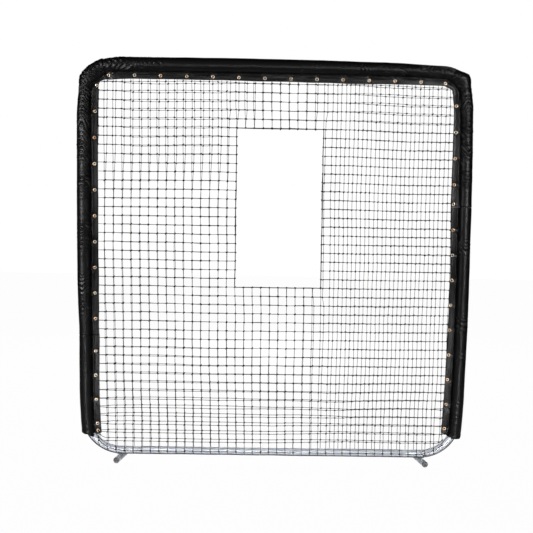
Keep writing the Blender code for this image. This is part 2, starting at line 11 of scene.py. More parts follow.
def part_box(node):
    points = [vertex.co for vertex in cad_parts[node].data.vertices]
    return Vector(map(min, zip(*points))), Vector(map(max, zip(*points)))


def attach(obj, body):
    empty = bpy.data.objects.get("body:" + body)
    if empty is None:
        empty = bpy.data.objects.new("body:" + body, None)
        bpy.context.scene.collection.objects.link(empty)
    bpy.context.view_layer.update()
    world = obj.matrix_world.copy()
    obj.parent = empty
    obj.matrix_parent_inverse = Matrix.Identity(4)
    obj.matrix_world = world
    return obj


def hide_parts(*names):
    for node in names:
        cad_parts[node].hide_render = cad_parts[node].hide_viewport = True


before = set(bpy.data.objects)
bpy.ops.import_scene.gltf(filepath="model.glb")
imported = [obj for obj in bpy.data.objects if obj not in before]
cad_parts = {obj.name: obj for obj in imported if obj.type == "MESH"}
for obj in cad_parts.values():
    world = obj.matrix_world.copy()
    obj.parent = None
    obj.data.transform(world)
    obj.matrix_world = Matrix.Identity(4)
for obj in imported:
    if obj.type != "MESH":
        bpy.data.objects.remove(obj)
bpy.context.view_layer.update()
MM = 0.001

# ---- places from the frame


def middle(node):
    low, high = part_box(node)
    return (low + high) / 2


RAIL = middle("frame_tube_bottom")
FRAME_Y, RAIL_Z = RAIL.y, RAIL.z
TUBE_R = (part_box("frame_tube_bottom")[1].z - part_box("frame_tube_bottom")[0].z) / 2
HALF_WIDTH = middle("frame_tube_right").x
TOP_Z = middle("frame_tube_top").z
BEND_R = 203 * MM
BEND_X = HALF_WIDTH - BEND_R
LOW_BEND_Z = RAIL_Z + BEND_R
HIGH_BEND_Z = TOP_Z - BEND_R

# ---- camera

EYE = Vector((-0.062, FRAME_Y - 4.153, 1.393))
YAW, PITCH, ROLL = math.radians(0.31), math.radians(-4.2), math.radians(0.87)
LENS, SENSOR_WIDTH = 51.33, 36.0


def make_camera():
    flat = math.cos(PITCH)
    ahead = Vector((math.sin(YAW) * flat, math.cos(YAW) * flat, math.sin(PITCH)))
    level = Vector((math.cos(YAW), -math.sin(YAW), 0.0))
    up = level.cross(ahead)
    right = level * math.cos(ROLL) + up * math.sin(ROLL)
    up = up * math.cos(ROLL) - level * math.sin(ROLL)
    data = bpy.data.cameras.new("camera")
    data.lens, data.sensor_width = LENS, SENSOR_WIDTH
    camera = bpy.data.objects.new("camera", data)
    bpy.context.scene.collection.objects.link(camera)
    turn = Matrix((right, up, -ahead)).transposed().to_4x4()
    camera.matrix_world = Matrix.Translation(EYE) @ turn
    bpy.context.scene.camera = camera


make_camera()

# ---- small helpers


def smooth_step(x):
    x = np.clip(x, 0.0, 1.0)
    return x * x * (3 - 2 * x)


def bump(x, middle_at, spread):
    return np.exp(-(((x - middle_at) / spread) ** 2))


def noise(seed, u, v):
    """Smooth random values from -1 to 1 over a plane, whose cells are 1 wide."""
    table = np.random.default_rng(seed).uniform(-1, 1, (64, 64))
    iu, iv = np.floor(u).astype(int), np.floor(v).astype(int)
    fu, fv = smooth_step(u - iu), smooth_step(v - iv)
    a, b = table[iu % 64, iv % 64], table[(iu + 1) % 64, iv % 64]
    c, d = table[iu % 64, (iv + 1) % 64], table[(iu + 1) % 64, (iv + 1) % 64]
    return (a * (1 - fu) + b * fu) * (1 - fv) + (c * (1 - fu) + d * fu) * fv


def stack(*parts):
    """Points from their x, y and z, each a number or an array."""
    return np.stack(np.broadcast_arrays(*parts), -1)


def mesh_object(name, co, faces, uv=None, smooth=True):
    """An object from arrays: points (n, 3) and faces (m, 3 or 4), with a UV per corner."""
    faces = np.asarray(faces, np.int32)
    sides = faces.shape[1]
    mesh = bpy.data.meshes.new(name)
    mesh.vertices.add(len(co))
    mesh.vertices.foreach_set("co", np.asarray(co, np.float32).ravel())
    mesh.loops.add(faces.size)
    mesh.loops.foreach_set("vertex_index", faces.ravel())
    mesh.polygons.add(len(faces))
    mesh.polygons.foreach_set("loop_start", np.arange(0, faces.size, sides, dtype=np.int32))
    mesh.update(calc_edges=True)
    if uv is not None:
        layer = mesh.uv_layers.new(name="surface")
        layer.data.foreach_set("uv", np.asarray(uv, np.float32).ravel())
    mesh.polygons.foreach_set("use_smooth", np.full(len(faces), smooth))
    mesh.validate()
    made = bpy.data.objects.new(name, mesh)
    bpy.context.scene.collection.objects.link(made)
    return made


def finish_piece(piece, body, look, slot, *nodes):
    piece.data.materials.clear()
    piece.data.materials.append(look)
    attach(piece, body)
    if nodes:
        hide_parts(*nodes)
    return piece


def grid_faces(rows, columns, around=False):
    """Quads of a grid of points, which may close round its columns."""
    i = np.arange(rows - 1)[:, None] * columns
    j = np.arange(columns if around else columns - 1)[None, :]
    k = (j + 1) % columns
    return np.stack([i + j, i + k, i + columns + k, i + columns + j], -1).reshape(-1, 4)


def lengths(vectors):
    return np.linalg.norm(vectors, axis=1)


def tube_arrays(lines, radii, sides):
    """Points, quads and UVs of tubes along several lines of points; ends stay open."""
    all_co, all_faces, all_uv = [], [], []
    offset = 0
    turns = 2 * math.pi * np.arange(sides) / sides
    for line, radius in zip(lines, radii):
        line = np.asarray(line, float)
        way = np.gradient(line, axis=0)
        way /= lengths(way)[:, None]
        side = np.cross(way, np.array([0.0, 1.0, 0.0]))
        weak = lengths(side) < 0.2
        side[weak] = np.cross(way[weak], np.array([1.0, 0.0, 0.0]))
        side /= lengths(side)[:, None]
        other = np.cross(side, way)
        ring = (
            side[:, None, :] * np.cos(turns)[None, :, None]
            + other[:, None, :] * np.sin(turns)[None, :, None]
        )
        radius = np.broadcast_to(np.asarray(radius, float), (len(line),))
        co = line[:, None, :] + ring * radius[:, None, None]
        faces = grid_faces(len(line), sides, around=True)
        far = np.concatenate([[0], np.cumsum(lengths(np.diff(line, axis=0)))])
        rows, columns = faces // sides, faces % sides
        columns[:, 1:3][columns[:, 0] == sides - 1] = sides  # the seam's far side
        all_uv.append(np.stack([columns / sides, far[rows] / 0.01], -1).reshape(-1, 2))
        all_co.append(co.reshape(-1, 3))
        all_faces.append(faces + offset)
        offset += co.shape[0] * co.shape[1]
    return np.concatenate(all_co), np.concatenate(all_faces), np.concatenate(all_uv)


def tubes(name, lines, radii, sides):
    return mesh_object(name, *tube_arrays(lines, radii, sides))


# ---- materials


def new_material(name, colour, roughness, metallic=0.0):
    made = bpy.data.materials.new(name)
    made.use_nodes = True
    shader = made.node_tree.nodes["Principled BSDF"]
    shader.inputs["Base Color"].default_value = (*colour, 1.0)
    shader.inputs["Roughness"].default_value = roughness
    shader.inputs["Metallic"].default_value = metallic
    return made, made.node_tree, shader


def node(tree, kind, **values):
    made = tree.nodes.new(kind)
    for key, value in values.items():
        if key in made.inputs:
            made.inputs[key].default_value = value
        else:
            setattr(made, key, value)
    return made


def texture(tree, kind, **values):
    """The outputs of a texture in space, in metres."""
    made = node(tree, f"ShaderNodeTex{kind}", **values)
    place = tree.nodes.new("ShaderNodeNewGeometry").outputs["Position"]
    tree.links.new(place, made.inputs["Vector"])
    return made.outputs


def ramp(tree, source, stops):
    """Colours picked along a value; a stop is a place and a colour or a grey."""
    made = tree.nodes.new("ShaderNodeValToRGB")
    line = made.color_ramp
    while len(line.elements) < len(stops):
        line.elements.new(0.5)
    for element, (place, colour) in zip(line.elements, stops):
        element.position = place
        element.color = (*np.broadcast_to(colour, 3), 1.0)
    tree.links.new(source, made.inputs["Fac"])
    return made.outputs["Color"]


def vary(tree, socket, source, *stops):
    """Feeds one of the shader's sockets from a ramp."""
    tree.links.new(ramp(tree, source, stops), tree.nodes["Principled BSDF"].inputs[socket])


def relief(tree, height, strength, distance, under=None):
    """Bumps on the shader's surface, on top of those of another relief."""
    made = node(tree, "ShaderNodeBump", Strength=strength, Distance=distance)
    tree.links.new(height, made.inputs["Height"])
    if under:
        tree.links.new(under.outputs["Normal"], made.inputs["Normal"])
    tree.links.new(made.outputs["Normal"], tree.nodes["Principled BSDF"].inputs["Normal"])
    return made


def mixed(tree, share, one, other, blend="MIX"):
    made = node(tree, "ShaderNodeMix", data_type="RGBA", blend_type=blend)
    made.inputs[0].default_value = share
    tree.links.new(one, made.inputs[6])
    tree.links.new(other, made.inputs[7])
    return made.outputs[2]


def vinyl_material():
    """Coated fabric: satin black, a fine pebbled grain and faint scuffs."""
    look, tree, shader = new_material("black_vinyl", (0.0035, 0.0035, 0.0036), 0.34)
    shader.inputs["Specular IOR Level"].default_value = 0.32
    grain = texture(tree, "Voronoi", Scale=620.0)["Distance"]
    cloud = texture(tree, "Noise", Scale=26.0, Detail=5.0, Roughness=0.62)["Fac"]
    weave = texture(tree, "Noise", Scale=240.0, Detail=2.0)["Fac"]
    vary(
        tree, "Base Color", cloud, (0.3, (0.0026, 0.0026, 0.0027)),
        (0.55, (0.0036, 0.0036, 0.0037)), (0.78, (0.006, 0.006, 0.0061)),
    )
    vary(tree, "Roughness", cloud, (0.28, 0.40), (0.72, 0.30))
    pebbles = relief(tree, grain, 0.22, 0.0004)
    relief(tree, weave, 0.22, 0.0012, under=pebbles)
    return look


def steel_material():
    """Galvanised tube: bluish zinc with faint spangle and handling marks."""
    look, tree, shader = new_material("galvanised_steel", (0.92, 0.94, 0.99), 0.36, 0.16)
    spangle = texture(tree, "Voronoi", Scale=130.0)["Color"]
    cloud = texture(tree, "Noise", Scale=34.0, Detail=6.0)["Fac"]
    tint = ramp(
        tree, cloud,
        [(0.3, (0.80, 0.85, 0.95)), (0.6, (0.91, 0.94, 0.99)), (0.8, (0.98, 0.98, 1.0))],
    )
    spangled = mixed(tree, 0.35, tint, spangle, "MULTIPLY")
    tree.links.new(mixed(tree, 0.3, tint, spangled), shader.inputs["Base Color"])
    vary(tree, "Roughness", cloud, (0.25, 0.42), (0.75, 0.24))
    relief(tree, cloud, 0.12, 0.0005)
    return look


def cloudy_metal(name, colour, metallic, cloud_values, tints, gloss):
    """Plated or rolled metal whose tint and gloss vary in patches."""
    look, tree, _ = new_material(name, colour, 0.3, metallic)
    cloud = texture(tree, "Noise", **cloud_values)["Fac"]
    vary(tree, "Base Color", cloud, *tints)
    vary(tree, "Roughness", cloud, (0.3, gloss[0]), (0.7, gloss[1]))
    return look


def twine_material(name, colour, turns):
    """Laid twine: strands twisted round it, with a slightly hairy, waxed surface."""
    look, tree, shader = new_material(name, colour, 0.7)
    shader.inputs["Sheen Weight"].default_value = 0.15
    strands = node(
        tree, "ShaderNodeTexWave", Scale=turns, Distortion=0.4, bands_direction="DIAGONAL"
    )
    spread = tree.nodes.new("ShaderNodeTexCoord").outputs["UV"]
    tree.links.new(spread, strands.inputs["Vector"])
    cloud = texture(tree, "Noise", Scale=300.0, Detail=3.0)["Fac"]
    dark = tuple(c * 0.55 for c in colour)
    light = tuple(c * 1.7 for c in colour)
    tint = ramp(tree, cloud, [(0.3, dark), (0.55, colour), (0.8, light)])
    shade = mixed(tree, 0.6, tint, strands.outputs["Color"], "MULTIPLY")
    tree.links.new(shade, shader.inputs["Base Color"])
    relief(tree, strands.outputs["Fac"], 0.7, 0.0006)
    return look


def plastic_material():
    """Moulded plug plastic: grey with a fine etched texture and scuffed patches."""
    look, tree, _ = new_material("grey_plastic", (0.20, 0.20, 0.21), 0.5)
    etch = texture(tree, "Noise", Scale=900.0, Detail=2.0)["Fac"]
    cloud = texture(tree, "Noise", Scale=60.0, Detail=5.0)["Fac"]
    vary(
        tree, "Base Color", cloud,
        (0.3, (0.13, 0.13, 0.14)), (0.6, (0.20, 0.20, 0.21)), (0.8, (0.29, 0.29, 0.30)),
    )
    vary(tree, "Roughness", cloud, (0.3, 0.56), (0.7, 0.44))
    relief(tree, etch, 0.25, 0.0002)
    return look


def foam_material():
    """Closed-cell foam, with its small cells showing at the cut end."""
    look, tree, _ = new_material("charcoal_foam", (0.05, 0.05, 0.052), 0.9)
    cells = texture(tree, "Voronoi", Scale=520.0)["Distance"]
    vary(tree, "Base Color", cells, (0.0, (0.03, 0.03, 0.031)), (0.6, (0.058, 0.058, 0.06)))
    relief(tree, cells, 0.6, 0.0008)
    return look


VINYL = vinyl_material()
STEEL = steel_material()
ZINC = cloudy_metal(
    "zinc_plate", (0.66, 0.66, 0.64), 0.9, dict(Scale=160.0, Detail=4.0),
    [(0.3, (0.50, 0.49, 0.44)), (0.7, (0.74, 0.74, 0.72))], (0.42, 0.24),
)
BRASS = cloudy_metal(
    "brass", (0.93, 0.72, 0.52), 0.75, dict(Scale=11.0, Detail=8.0, Roughness=0.7),
    [(0.36, (0.84, 0.42, 0.22)), (0.47, (0.95, 0.70, 0.48)), (0.60, (1.0, 0.88, 0.72))],
    (0.46, 0.28),
)
TWINE = twine_material("black_twine", (0.013, 0.012, 0.023), 3.0)
ROPE = twine_material("hem_rope", (0.014, 0.014, 0.018), 2.0)
PLASTIC = plastic_material()
FOAM = foam_material()

# ---- line that the pads follow

# The covers stand squarer than the tube at the top corners.  q runs up the left side
# from the floor, over the top and down the right side.
CORNER_R = 130 * MM
CORNER_X = HALF_WIDTH - CORNER_R
CORNER_Z = TOP_Z - CORNER_R
Q_LEFT = CORNER_Z
Q_TOP = Q_LEFT + CORNER_R * math.pi / 2
Q_TURN = Q_TOP + 2 * CORNER_X
Q_RIGHT = Q_TURN + CORNER_R * math.pi / 2
LEAN = 13 * MM  # how far the lower ends are drawn in by the tube's bends
LEAN_FROM_Z, LEAN_HEIGHT, LEAN_POWER = 0.40, 0.26, 1.7


def q_of_x(x):
    return Q_TOP + CORNER_X + x


def q_of_right_z(z):
    return Q_RIGHT + CORNER_Z - z


def top(*places):
    return [q_of_x(x) for x in places]


def right(*heights):
    return [q_of_right_z(z) for z in heights]


def pad_line(q):
    """Centre line of the pads: x, z and the outward angle."""
    q = np.asarray(q, float)
    left = q < Q_LEFT
    turn_one = (q >= Q_LEFT) & (q < Q_TOP)
    level = (q >= Q_TOP) & (q < Q_TURN)
    turn_two = (q >= Q_TURN) & (q < Q_RIGHT)
    a = np.where(left, math.pi, 0.0)
    a = np.where(turn_one, math.pi - (q - Q_LEFT) / CORNER_R, a)
    a = np.where(level, math.pi / 2, a)
    a = np.where(turn_two, math.pi / 2 - (q - Q_TURN) / CORNER_R, a)
    x = np.where(q >= Q_TURN, CORNER_X, -CORNER_X)
    x = np.where(level, q - Q_TOP - CORNER_X, x)
    z = np.where(left, q, CORNER_Z)
    z = np.where(q >= Q_RIGHT, CORNER_Z - (q - Q_RIGHT), z)
    x = x + CORNER_R * np.cos(a) * (~level)
    z = z + CORNER_R * np.sin(a)
    x = x - np.sign(x) * LEAN * np.clip((LEAN_FROM_Z - z) / LEAN_HEIGHT, 0, 1) ** LEAN_POWER
    out = pad_shift(q)
    return x + out * np.cos(a), z + out * np.sin(a), a


# Below, sizes in mm at places along q are joined by straight lines.


def pad_shift(q):
    """How far the pads stand outside their plain line."""
    knots = [
        0.14, 0.7, 0.9, Q_LEFT + 0.03, Q_LEFT + 0.13, Q_TOP, Q_TOP + 0.06, *top(-0.3, 0.3, 0.7),
        Q_TURN, Q_TURN + 0.05, Q_TURN + 0.13, Q_TURN + 0.17, Q_RIGHT + 0.01,
        *right(1.97, 1.75, 1.45, 1.0, 0.6, 0.4),
    ]
    sizes = [
        -4.5, -3.0, 0.0, 1.0, -4.0, -1.0, 2.0, 3.5, 2.0, 0.0,
        -8.0, -9.0, -2.0, -10.0, -10.0,
        -3.0, 2.0, 6.0, 7.5, 5.0, 0.0,
    ]
    return np.interp(q, knots, sizes) * MM


def pad_fat(q):
    """How much fuller than the foam a cover is on its outer side."""
    knots = [
        0.75, 1.0, 1.3, 1.90, 1.97, 2.03, Q_LEFT + 0.02, Q_LEFT + 0.055, Q_LEFT + 0.12,
        Q_TOP - 0.01, Q_TOP + 0.06, *top(0.0, 0.3, 0.6, 0.86), Q_TURN + 0.055,
        Q_TURN + 0.085, Q_TURN + 0.113, Q_TURN + 0.135, Q_TURN + 0.155, Q_TURN + 0.18, Q_RIGHT,
    ]
    sizes = [
        0.0, 6.5, 8.0, 6.5, 3.0, -5.0, -3.5, 8.0, 4.0,
        5.0, 9.5, 8.5, 6.5, 2.0, -4.0, -7.0,
        0.0, 12.0, 6.0, -1.0, -4.0, 0.0,
    ]
    return np.interp(q, knots, sizes) * MM


def slit_share(q):
    """How deep the slit between the round and the flap is, from 0 to 1."""
    knots = [0.698, 0.702, Q_LEFT - 0.1, Q_TOP, Q_TURN, Q_RIGHT, *right(1.43, 1.426)]
    return np.interp(q, knots, [1.0, 0.55, 0.4, 0.2, 0.25, 0.5, 0.6, 1.0])


def reach(q):
    """From the pads' centre line to the flaps' free edge."""
    knots = [
        0.14, 0.7, 1.9, Q_LEFT, (Q_LEFT + Q_TOP) / 2, Q_TOP, Q_TOP + 0.12, *top(-0.3, 0.5),
        Q_TURN - 0.1, Q_TURN, (Q_TURN + Q_RIGHT) / 2, Q_RIGHT, *right(1.45, 1.1, 0.7, 0.4, 0.15),
    ]
    sizes = [73, 73, 71, 76, 62, 74, 71, 71, 78, 74, 72, 76, 66, 77, 67, 71, 75, 73]
    return np.interp(q, knots, sizes) * MM


def grommet_line(q):
    """From the pads' centre line to the row of grommets."""
    knots = [
        0.14, 0.7, 1.77, 1.91, Q_LEFT + 0.02, Q_TOP - 0.05, q_of_x(0.0), Q_TURN, Q_RIGHT,
        *right(1.45, 1.1, 0.7, 0.15),
    ]
    return np.interp(q, knots, [55, 55, 53, 57, 65, 51, 59, 60, 55, 64, 60, 63, 60]) * MM


def tube_edge(q):
    """From the pads' line to the inner side of the tube inside them."""
    turn = np.linspace(0, math.pi / 2, 80)
    arc_x, arc_z = BEND_X + BEND_R * np.cos(turn), BEND_R * np.sin(turn)
    half = np.concatenate(
        [
            stack(arc_x, LOW_BEND_Z - arc_z)[::-1],
            stack(HALF_WIDTH, np.linspace(LOW_BEND_Z, HIGH_BEND_Z, 60)),
            stack(arc_x, HIGH_BEND_Z + arc_z),
            stack(np.linspace(BEND_X, 0, 60), TOP_Z),
        ]
    )
    line = np.concatenate([half, half * np.array([-1, 1])])
    x, z, a = (v[:, None] for v in pad_line(q))
    dx, dz = line[None, :, 0] - x, line[None, :, 1] - z
    out = dx * np.cos(a) + dz * np.sin(a)
    along = -dx * np.sin(a) + dz * np.cos(a)
    near = (np.abs(along) < TUBE_R) & (np.abs(out) < 0.09)
    edge = -out + np.sqrt(np.clip(TUBE_R**2 - along**2, 0, None))
    return np.max(np.where(near, edge, 0.0), axis=1)


# Joints between the covers
Q_LEFT_END = 0.150
Q_LEFT_JOINT = 0.700
Q_TOP_START = Q_LEFT + CORNER_R * math.radians(79)
Q_TOP_END = Q_TURN + CORNER_R * math.radians(22)
Q_RIGHT_JOINT = q_of_right_z(1.428)
Q_RIGHT_END = q_of_right_z(0.149)

# Grommets of each cover: first place and pitch along q, how many, and odd ones
GROMMETS = {
    "top": (q_of_x(-0.903), 0.1400, 14, []),
    "left_upper": (0.788, 0.1406, 9, [Q_LEFT + 0.0445]),
    "left_lower": (0.202, 0.1353, 4, [0.162]),
    "right_upper": (q_of_right_z(1.971), 0.1408, 4, [q_of_right_z(1.443)]),
    "right_lower": (q_of_right_z(1.303), 0.1380, 9, []),
}


def grommet_places(name):
    start, pitch, count, odd = GROMMETS[name]
    return sorted([start + pitch * i for i in range(count)] + odd)


ALL_GROMMETS = np.array(sorted(g for name in GROMMETS for g in grommet_places(name)))


def pad_place(q, out, forward):
    """Points at distances outward and forward from the pads' centre line."""
    x, z, a = pad_line(q)
    return stack(x + out * np.cos(a), FRAME_Y - forward, z + out * np.sin(a))


# ---- covers

PAD_R = 36 * MM
FLANK = 33.5 * MM  # where the round of the pad turns in towards the flap
VINYL_THICKNESS = 1.2 * MM
STEP = 3.4 * MM
ROUND_ANGLES = np.radians([142, 122, 98, 73, 48, 23, 0])
# How many samples lie between a section's control points, from a free edge to the outer side
SAMPLES = [2, 3, 3, 3, 4, 4, 4, 3, 3, 3, 3, 3, 2]
PULL = 3.0  # usual height of the folds that run from the grommets, in mm
PLEAT_HEIGHT, PLEAT_PITCH = 2.8, 1.18  # these scale the zones in COVERS


def cover_sections(q, seed):
    """Control points (outward, forward) of the cover's section at each q, both flaps."""
    far = reach(q)
    line = grommet_line(q)
    near = np.min(np.abs(q[:, None] - ALL_GROMMETS[None, :]), axis=1)
    pinch = np.exp(-((near / (17 * MM)) ** 2))
    between = 1 - pinch
    tuck = np.clip(tube_edge(q) + 1.5 * MM - FLANK, 0, None)
    fat = pad_fat(q)
    zeros = q * 0
    sections = []
    for side, way in ((0, 1), (1, -1)):
        s = seed + 11 * side
        wave, wave_two, wave_three = (
            noise(s + i, q / (cell * MM), zeros) for i, cell in enumerate((62, 95, 38))
        )
        lift = between * (2.2 + 1.6 * wave_two) * MM
        shoulder = (6.6 + between * (4.2 + 2.6 * wave)) * MM
        slit_depth = (8.3 - slit_share(q) * between * 5.0) * MM
        slit_at = np.minimum(38.0 * MM, line - 14.5 * MM) + tuck * 0.96
        slit_at = slit_at + (1.4 * wave_three - 1.5 * pinch) * MM
        points = [
            (-(far + 1.3 * MM * wave_two), 3.6 * MM + lift * 0.9),
            (-(far - 4 * MM), 4.4 * MM + lift),
            (-line, (5.2 + 0.6 * wave) * MM + lift * 0.6),
            (-(slit_at + (far - slit_at) * 0.26 + 1 * MM), shoulder * 0.55 + 3.0 * MM),
            (-(slit_at + 3.2 * MM), shoulder),
            (-slit_at, slit_depth),
            (-(FLANK + tuck - 0.4 * MM), 10.8 * MM + pinch * 0.5 * MM),
        ]
        for k, angle in enumerate(ROUND_ANGLES):
            radius = PAD_R * (1 + 0.012 * noise(s + 3, q / (70 * MM), zeros + k * 0.7))
            inner = max(0.0, -math.cos(angle))
            outer = min(1.0, max(0.0, (math.cos(angle) + 0.35) / 1.35))
            sag = (0.0 if k > 1 else 1.2 * MM) * between
            out = radius * math.cos(angle) - tuck * inner * 1.1 + fat * outer
            points.append((out, (radius + fat * 0.35 * outer) * math.sin(angle) - sag))
        sections.append(np.stack([stack(o, way * f) for o, f in points], 1))
    front, back = sections
    return np.concatenate([front, back[:, -2::-1]], axis=1)


def spline_rows(points, samples):
    """Catmull-Rom curves through each row of control points, sampled between them."""
    first = 2 * points[:, :1] - points[:, 1:2]
    last = 2 * points[:, -1:] - points[:, -2:-1]
    p = np.concatenate([first, points, last], axis=1)
    made = []
    for i, count in enumerate(samples):
        a, b, c, d = p[:, i], p[:, i + 1], p[:, i + 2], p[:, i + 3]
        square, cube = 2 * a - 5 * b + 4 * c - d, 3 * b - a - 3 * c + d
        for t in np.arange(count) / count:
            made.append(0.5 * (2 * b + (c - a) * t + square * t * t + cube * t**3))
    made.append(points[:, -1])
    return np.stack(made, 1)


def pleats(q, t, zones, seed):
    """Small gathered folds across the pad, in zones of (q, spread, size, pitch, lean)."""
    height = np.zeros(np.broadcast(q, t).shape)
    for count, (at, spread, size, pitch, lean) in enumerate(zones):
        s = seed + 40 + 5 * count
        size, pitch = size * MM * PLEAT_HEIGHT, pitch * MM * PLEAT_PITCH
        where = np.clip(1.25 * bump(q, at, spread * MM), 0, 1)
        wander = 0.7 * noise(s, q / (60 * MM), t / (45 * MM))
        wander = wander + 0.3 * noise(s + 1, q / (24 * MM), t / (34 * MM))
        turn = (q + lean * np.abs(t - 4 * MM)) / pitch + wander
        fold = 1 - np.abs(np.sin(math.pi * turn)) ** 0.8
        patch = 0.62 + 0.38 * noise(s + 2, q / (36 * MM), t / (30 * MM))
        height = height + size * where * patch * (fold - 0.35)
    return height


def pulls(q, t, places, seed, strength):
    """Tension folds that run from each grommet towards the pad."""
    draw = np.random.default_rng(seed + 90)
    height = np.zeros(np.broadcast(q, t).shape)
    for at in places:
        for way in (-1, 1):
            slope = way * draw.uniform(0.35, 1.1)
            size = strength * draw.uniform(0.25, 1.0)
            length = draw.uniform(34, 62) * MM
            width = draw.uniform(4.5, 8.0) * MM
            if draw.uniform() < 0.3:
                size = size * 0.2
            norm = math.hypot(1, slope)
            along = (t + slope * (q - at)) / norm
            across = ((q - at) - slope * t) / norm
            window = smooth_step(along / (10 * MM)) * smooth_step((length - along) / (22 * MM))
            fold = bump(across, 0, width) - 0.55 * bump(across, 1.5 * width, width)
            height = height + size * window * fold
    return height


def cover_surface(q, zones, seed, ends, places, strength=PULL):
    """A cover's outer face: its points, and each one's way to the flap's free edge."""
    rows = spline_rows(cover_sections(q, seed), SAMPLES + SAMPLES[::-1])
    gap = np.linalg.norm(np.diff(rows, axis=1), axis=2)
    distance = np.concatenate([np.zeros((len(q), 1)), np.cumsum(gap, axis=1)], axis=1)
    outermost = rows.shape[1] // 2
    half = distance[:, outermost : outermost + 1]
    tangent = np.gradient(rows, axis=1)
    tangent /= np.maximum(np.linalg.norm(tangent, axis=2), 1e-9)[..., None]
    normal = np.stack([tangent[..., 1], -tangent[..., 0]], -1)
    normal = normal * np.sign(normal[:, outermost, 0])[:, None, None]
    front = (np.arange(rows.shape[1]) <= outermost)[None, :]
    edge = np.where(front, distance, 2 * half - distance)
    side_seed = np.where(front, 0.0, 37.0)  # the back has folds of its own
    long = q[:, None]
    top_line = edge - half + 56 * MM  # near 0 at the middle of the pad's face
    pad_part = smooth_step((edge - 36 * MM) / (14 * MM))
    outer_part = 1 - 0.84 * smooth_step((edge - half + 26 * MM) / (20 * MM))
    height = pleats(long, top_line + side_seed, zones, seed) * pad_part * outer_part
    from_grommet = edge - (reach(q) - grommet_line(q))[:, None]
    drawn = pulls(long, from_grommet, places, seed, strength * MM)
    height = height + drawn * smooth_step((half - edge - 14 * MM) / (30 * MM))
    soft = noise(seed + 20, long / (120 * MM) + side_seed, top_line / (60 * MM))
    fine = noise(seed + 21, long / (31 * MM) + side_seed, top_line / (24 * MM))
    height = height + 0.7 * MM * soft + 0.28 * MM * fine
    for at, size, spread in ends:
        height = height + size * MM * bump(long, at, spread * MM) * (0.3 + 0.7 * pad_part)
    flap_part = 1 - smooth_step((edge - 22 * MM) / (14 * MM))
    height = height * (1 - 0.8 * flap_part * (edge < 30 * MM))
    height = height - bump(edge, 5 * MM, 1.1 * MM) * 0.5 * MM  # stitched turning of the flap
    return rows + normal * height[..., None], edge


def cover(name, q0, q1, zones, seed, ends, cut=None, strength=PULL):
    """One cover: a sewn vinyl sleeve with its front and back flaps."""
    count = max(8, int((q1 - q0) / STEP))
    q = np.linspace(q0, q1, count + 1)
    place, _ = cover_surface(q, zones, seed, ends, grommet_places(name), strength)
    q_grid = np.repeat(q[:, None], place.shape[1], axis=1)
    if cut is not None:
        q_grid = cut(q_grid, place[..., 0], q0, q1)
    co = pad_place(q_grid, place[..., 0], place[..., 1])
    rows, columns = co.shape[:2]
    faces = grid_faces(rows, columns)
    u = np.cumsum(np.full(columns, 3.2 * MM))
    uv = stack(u[None, :], q[:, None]).reshape(-1, 2)[faces.ravel()]
    made = mesh_object(f"vinyl_{name}", co.reshape(-1, 3), faces, uv)
    wall = made.modifiers.new("thickness", "SOLIDIFY")
    wall.thickness = VINYL_THICKNESS
    wall.offset = inward_offset(made.data)
    wall.use_rim = True
    finish_piece(made, "frame", VINYL, "black_vinyl", f"cover_{name}")


def inward_offset(mesh):
    """The Solidify offset that puts a cover's thickness inside its face."""
    total = 0.0
    for index in range(0, len(mesh.polygons), max(1, len(mesh.polygons) // 400)):
        face = mesh.polygons[index]
        if abs(face.center.y - FRAME_Y) > 25 * MM:
            total += face.normal.y * (face.center.y - FRAME_Y)
    return -1.0 if total > 0 else 1.0


def ragged_bottom(outs, drops, seed):
    """Shapes a cover's lower end, which hangs unevenly: drops in mm at places outward."""

    def cut(q, o, q0, q1):
        low_end, way = (q0, 1.0) if q0 < 1.0 else (q1, -1.0)
        fade = np.clip(1 - np.abs(q - low_end) / (60 * MM), 0, 1)
        shape = np.interp(o, outs, drops) * MM + 1.6 * MM * noise(seed, o / (14 * MM), o * 0)
        return q + way * shape * fade

    return cut


